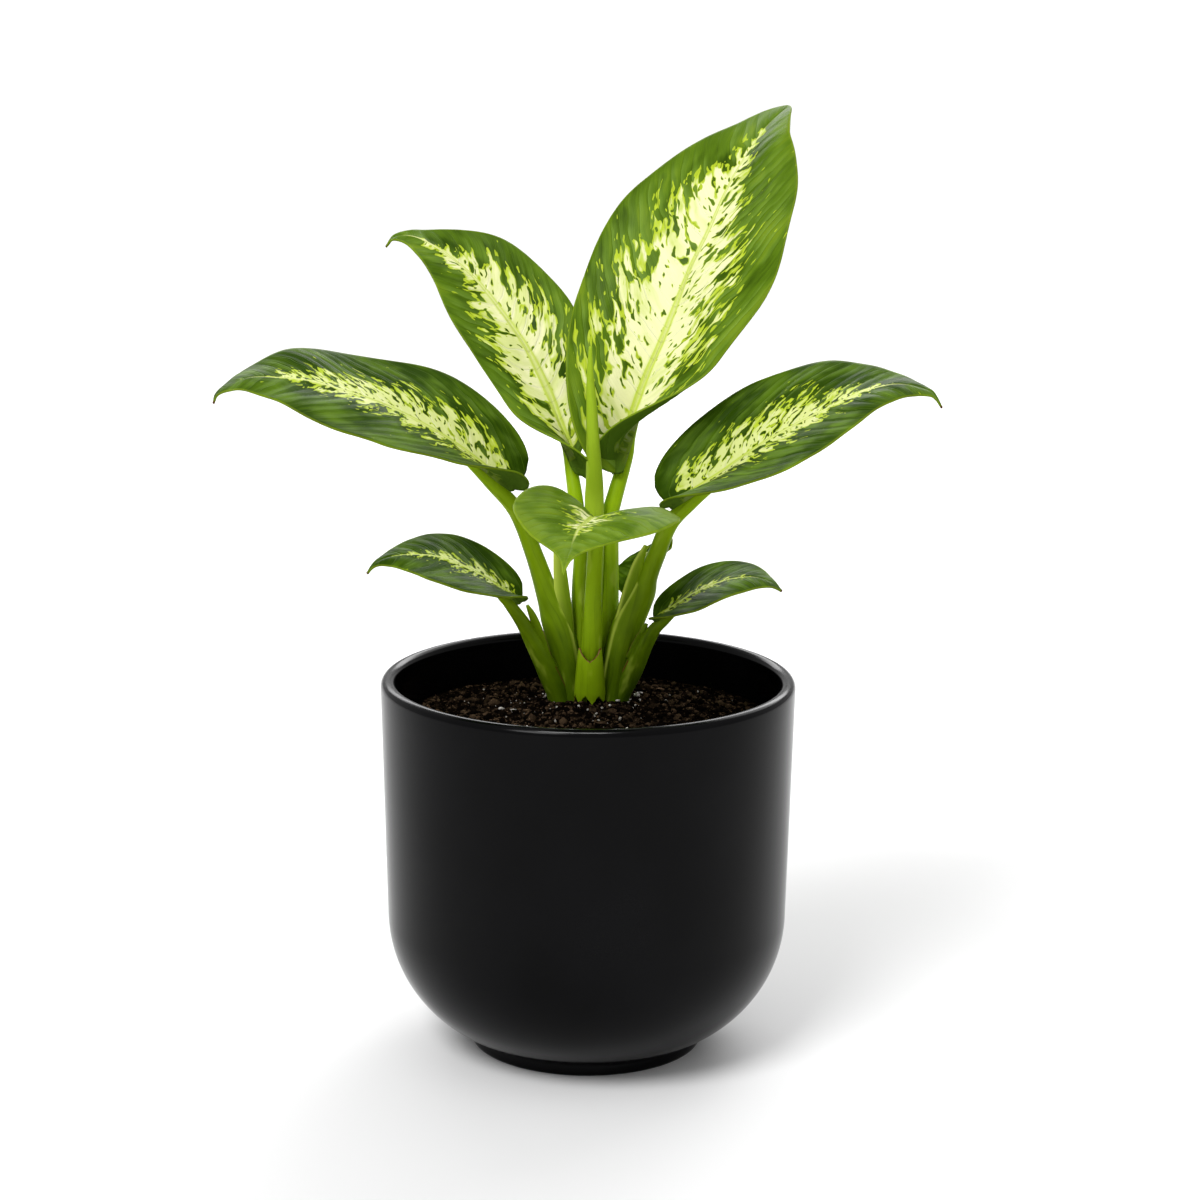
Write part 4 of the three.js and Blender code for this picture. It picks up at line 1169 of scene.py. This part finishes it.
def under_the_midrib(leaf, half_width):
    """Stations that carry a stalk on under the midrib of its leaf, from its thin end back to the blade's
    base. The half width is the stalk's where it meets the blade."""
    steps = 100
    line, _, _, _, face = midrib_frame(leaf, steps)
    stations = []
    for u, share_of_width in RUN_OUT:
        radius = half_width * share_of_width
        centre = line[round(u * steps)] - face[round(u * steps)] * (radius + 0.15)
        stations.append((*centre, radius, radius))
    return stations


class PLANT_OT_stalks(bpy.types.Operator):
    """Shape every leaf stalk, from the midrib that it carries to the sheath at its foot"""
    bl_idname = "plant.stalks"
    bl_label = "Stalks"

    def execute(self, context):
        materials = [stalk_finish("stalk", context.scene.plant.stalk)]
        for name, stalk in STALKS.items():
            path = [*under_the_midrib(LEAVES[name], stalk["path"][0][3]), *stalk["path"][1:]]
            parts = [self.part(f"petiole_{name}", path, stalk["tone"], stalk.get("edges", ()))]
            if "wing" in stalk:
                parts.append(self.part(f"wing_{name}", stalk["wing"], stalk["tone"], stalk["wing_edges"]))
            piece = joined(f"petiole_{name}", parts) if len(parts) > 1 else parts[0]
            finished(piece, materials, [f"stalk_{name}"])
        return {"FINISHED"}

    def part(self, name, stations, tone, edges):
        steps = int(smooth_line(stations, 20)[1] / STALK_STEP)
        return bent_rod(name, stations, steps, 48, tone, edges)


class PLANT_OT_furled_leaf(bpy.types.Operator):
    """Shape the new leaf, still rolled up"""
    bl_idname = "plant.furled_leaf"
    bl_label = "Furled leaf"

    def execute(self, context):
        piece = bent_rod("furled_blade", FURLED_LEAF, 110, 40, FURLED_TONE)
        finished(piece, [stalk_finish("furled_leaf", context.scene.plant.stalk)], ["furled_leaf"])
        return {"FINISHED"}


class PLANT_OT_old_sheath(bpy.types.Operator):
    """Shape the torn old sheath round the foot of the front stalk"""
    bl_idname = "plant.old_sheath"
    bl_label = "Old sheath"

    def execute(self, context):
        rows, columns = 60, 60
        piece, row, column = sheet("torn_sheath", rows, columns)
        a = np.linspace(-1, 1, columns + 1)[None]
        b = np.linspace(0, 1, rows + 1)[:, None]
        line, length = smooth_line(OLD_SHEATH, 200)
        depth, reach = TORN["notch"]
        notch = TORN["top"] + depth * (1 - np.abs(a) / reach).clip(0, 1) ** 0.8
        teeth = sum(deep * np.abs((a * count + shift) % 1 - 0.5) * 2 for deep, count, shift in TORN["teeth"])
        bottom = TORN["bottom"] - teeth
        share = notch + b * (bottom - notch)
        at = np.rint(share * 200).astype(int)
        centre, half_width, half_depth = line[at][..., :3], line[at][..., 3], line[at][..., 4]
        turn = a * math.radians(TORN["half_turn"])
        points = centre.copy()
        points[..., 0] += half_width * np.sin(turn)
        points[..., 1] -= half_depth * np.cos(turn) + TORN["stand_off"]
        move_vertices(piece, points[row, column] * MM)
        place = np.stack([share * length / 10, a * 0.5 + 0 * share, up_the_plant(points[..., 2])], -1)
        (dry_top, top_reach), (dry_bottom, bottom_reach) = TORN["dry"]
        near_top = dry_top * np.exp(-(share - notch) * length / top_reach)
        near_bottom = dry_bottom * np.exp(-(bottom - share).clip(0, 1) * length / bottom_reach)
        dry = np.maximum(near_top, near_bottom).clip(0, 1)
        edges = np.stack([dry, 0 * share, TORN["tone"] + 0 * share], -1)
        write_attribute(piece, "stalk_place", place[row, column])
        write_attribute(piece, "stalk_edge", edges[row, column])
        make_outwards(piece)
        thicken(piece, TORN["thickness"] * MM, under=0)
        finished(piece, [stalk_finish("old_sheath", context.scene.plant.stalk)], ["old_sheath"])
        return {"FINISHED"}


class PLANT_OT_stump(bpy.types.Operator):
    """Colour the buried stump that carries the stalks"""
    bl_idname = "plant.stump"
    bl_label = "Stump"

    def execute(self, context):
        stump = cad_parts["stem_crown"]
        stump.data.materials.clear()
        stump.data.materials.append(stump_finish())
        return {"FINISHED"}


# ---------- the stage ----------
def light(name, kind, energy, location, target, **settings):
    """A light that shines from its location at the target."""
    lamp = bpy.data.lights.new(name, kind)
    lamp.energy = energy
    for key, value in settings.items():
        setattr(lamp, key, value)
    holder = bpy.data.objects.new(name, lamp)
    bpy.context.scene.collection.objects.link(holder)
    holder.location = location
    holder.rotation_euler = (Vector(target) - Vector(location)).to_track_quat("-Z", "Y").to_euler()
    holder.visible_camera = False
    return holder


class PLANT_OT_stage(bpy.types.Operator):
    """Set up the pale floor, the soft light and the camera"""
    bl_idname = "plant.stage"
    bl_label = "Stage"

    def execute(self, context):
        scene = context.scene
        stage = scene.plant.stage
        start_modelling()
        bpy.ops.mesh.primitive_circle_add(vertices=96, radius=24, fill_type="NGON", location=(0, 0, 0))
        floor = named("floor")
        floor.data.materials.append(floor_finish(stage))

        scene.view_settings.view_transform = "Standard"
        world = bpy.data.worlds.new("studio")
        scene.world = world
        world.use_nodes = True
        background = world.node_tree.nodes["Background"].inputs
        background["Color"].default_value = (1, 1, 1, 1)
        background["Strength"].default_value = 0.62
        plant, rim = (0, 0, 0.15), (0, 0, 0.12)
        light("key_light", "SUN", 1.9, (-1.0, -1.5, 2.2), plant, angle=math.radians(25))
        light("back_light", "SUN", 0.8, (0.8, 1.6, 1.6), plant, angle=math.radians(35))
        light("rim_light", "AREA", 9, (0, 1.3, 0.75), rim, shape="RECTANGLE", size=1.5, size_y=0.35)
        lip = light("lip_light", "AREA", 18, (-0.1, -0.5, 1.3), rim, shape="RECTANGLE", size=0.6, size_y=0.2)
        lip.visible_diffuse = False

        camera = bpy.data.objects.new("camera", bpy.data.cameras.new("camera"))
        scene.collection.objects.link(camera)
        camera.data.lens = 90
        camera.data.sensor_width = 36
        camera.data.clip_end = 100
        away = Vector((0, -math.cos(stage.pitch), math.sin(stage.pitch))) * stage.distance
        place = Vector((stage.aim_side, 0, stage.aim_height)) + away
        turn = Matrix.Rotation(math.pi / 2 - stage.pitch, 4, "X") @ Matrix.Rotation(stage.roll, 4, "Z")
        camera.matrix_world = Matrix.Translation(place) @ turn
        scene.camera = camera
        return {"FINISHED"}


class PLANT_PT_panel(bpy.types.Panel):
    """The steps that make the plant, in order"""
    bl_label = "Potted Dieffenbachia"
    bl_idname = "PLANT_PT_panel"
    bl_space_type = "VIEW_3D"
    bl_region_type = "UI"
    bl_category = "Plant"

    def draw(self, context):
        for step in STEPS:
            self.layout.operator(step.bl_idname)
        for group in ("pot", "soil", "leaf", "stalk", "stage"):
            box = self.layout.box()
            settings = getattr(context.scene.plant, group)
            for key in settings.__annotations__:
                box.prop(settings, key)


STEPS = (PLANT_OT_stage, PLANT_OT_pot, PLANT_OT_soil, PLANT_OT_crumbs, PLANT_OT_stump, PLANT_OT_leaves,
         PLANT_OT_stalks, PLANT_OT_furled_leaf, PLANT_OT_old_sheath)
CLASSES = (PotSettings, SoilSettings, LeafSettings, StalkSettings, StageSettings, PlantSettings, *STEPS,
           PLANT_PT_panel)


def register():
    for cls in CLASSES:
        bpy.utils.register_class(cls)
    bpy.types.Scene.plant = PointerProperty(type=PlantSettings, name="Plant", description="The potted plant")


def unregister():
    del bpy.types.Scene.plant
    for cls in reversed(CLASSES):
        bpy.utils.unregister_class(cls)


def main():
    register()
    for step in STEPS:
        group, name = step.bl_idname.split(".")
        getattr(getattr(bpy.ops, group), name)()


if __name__ == "__main__":
    main()
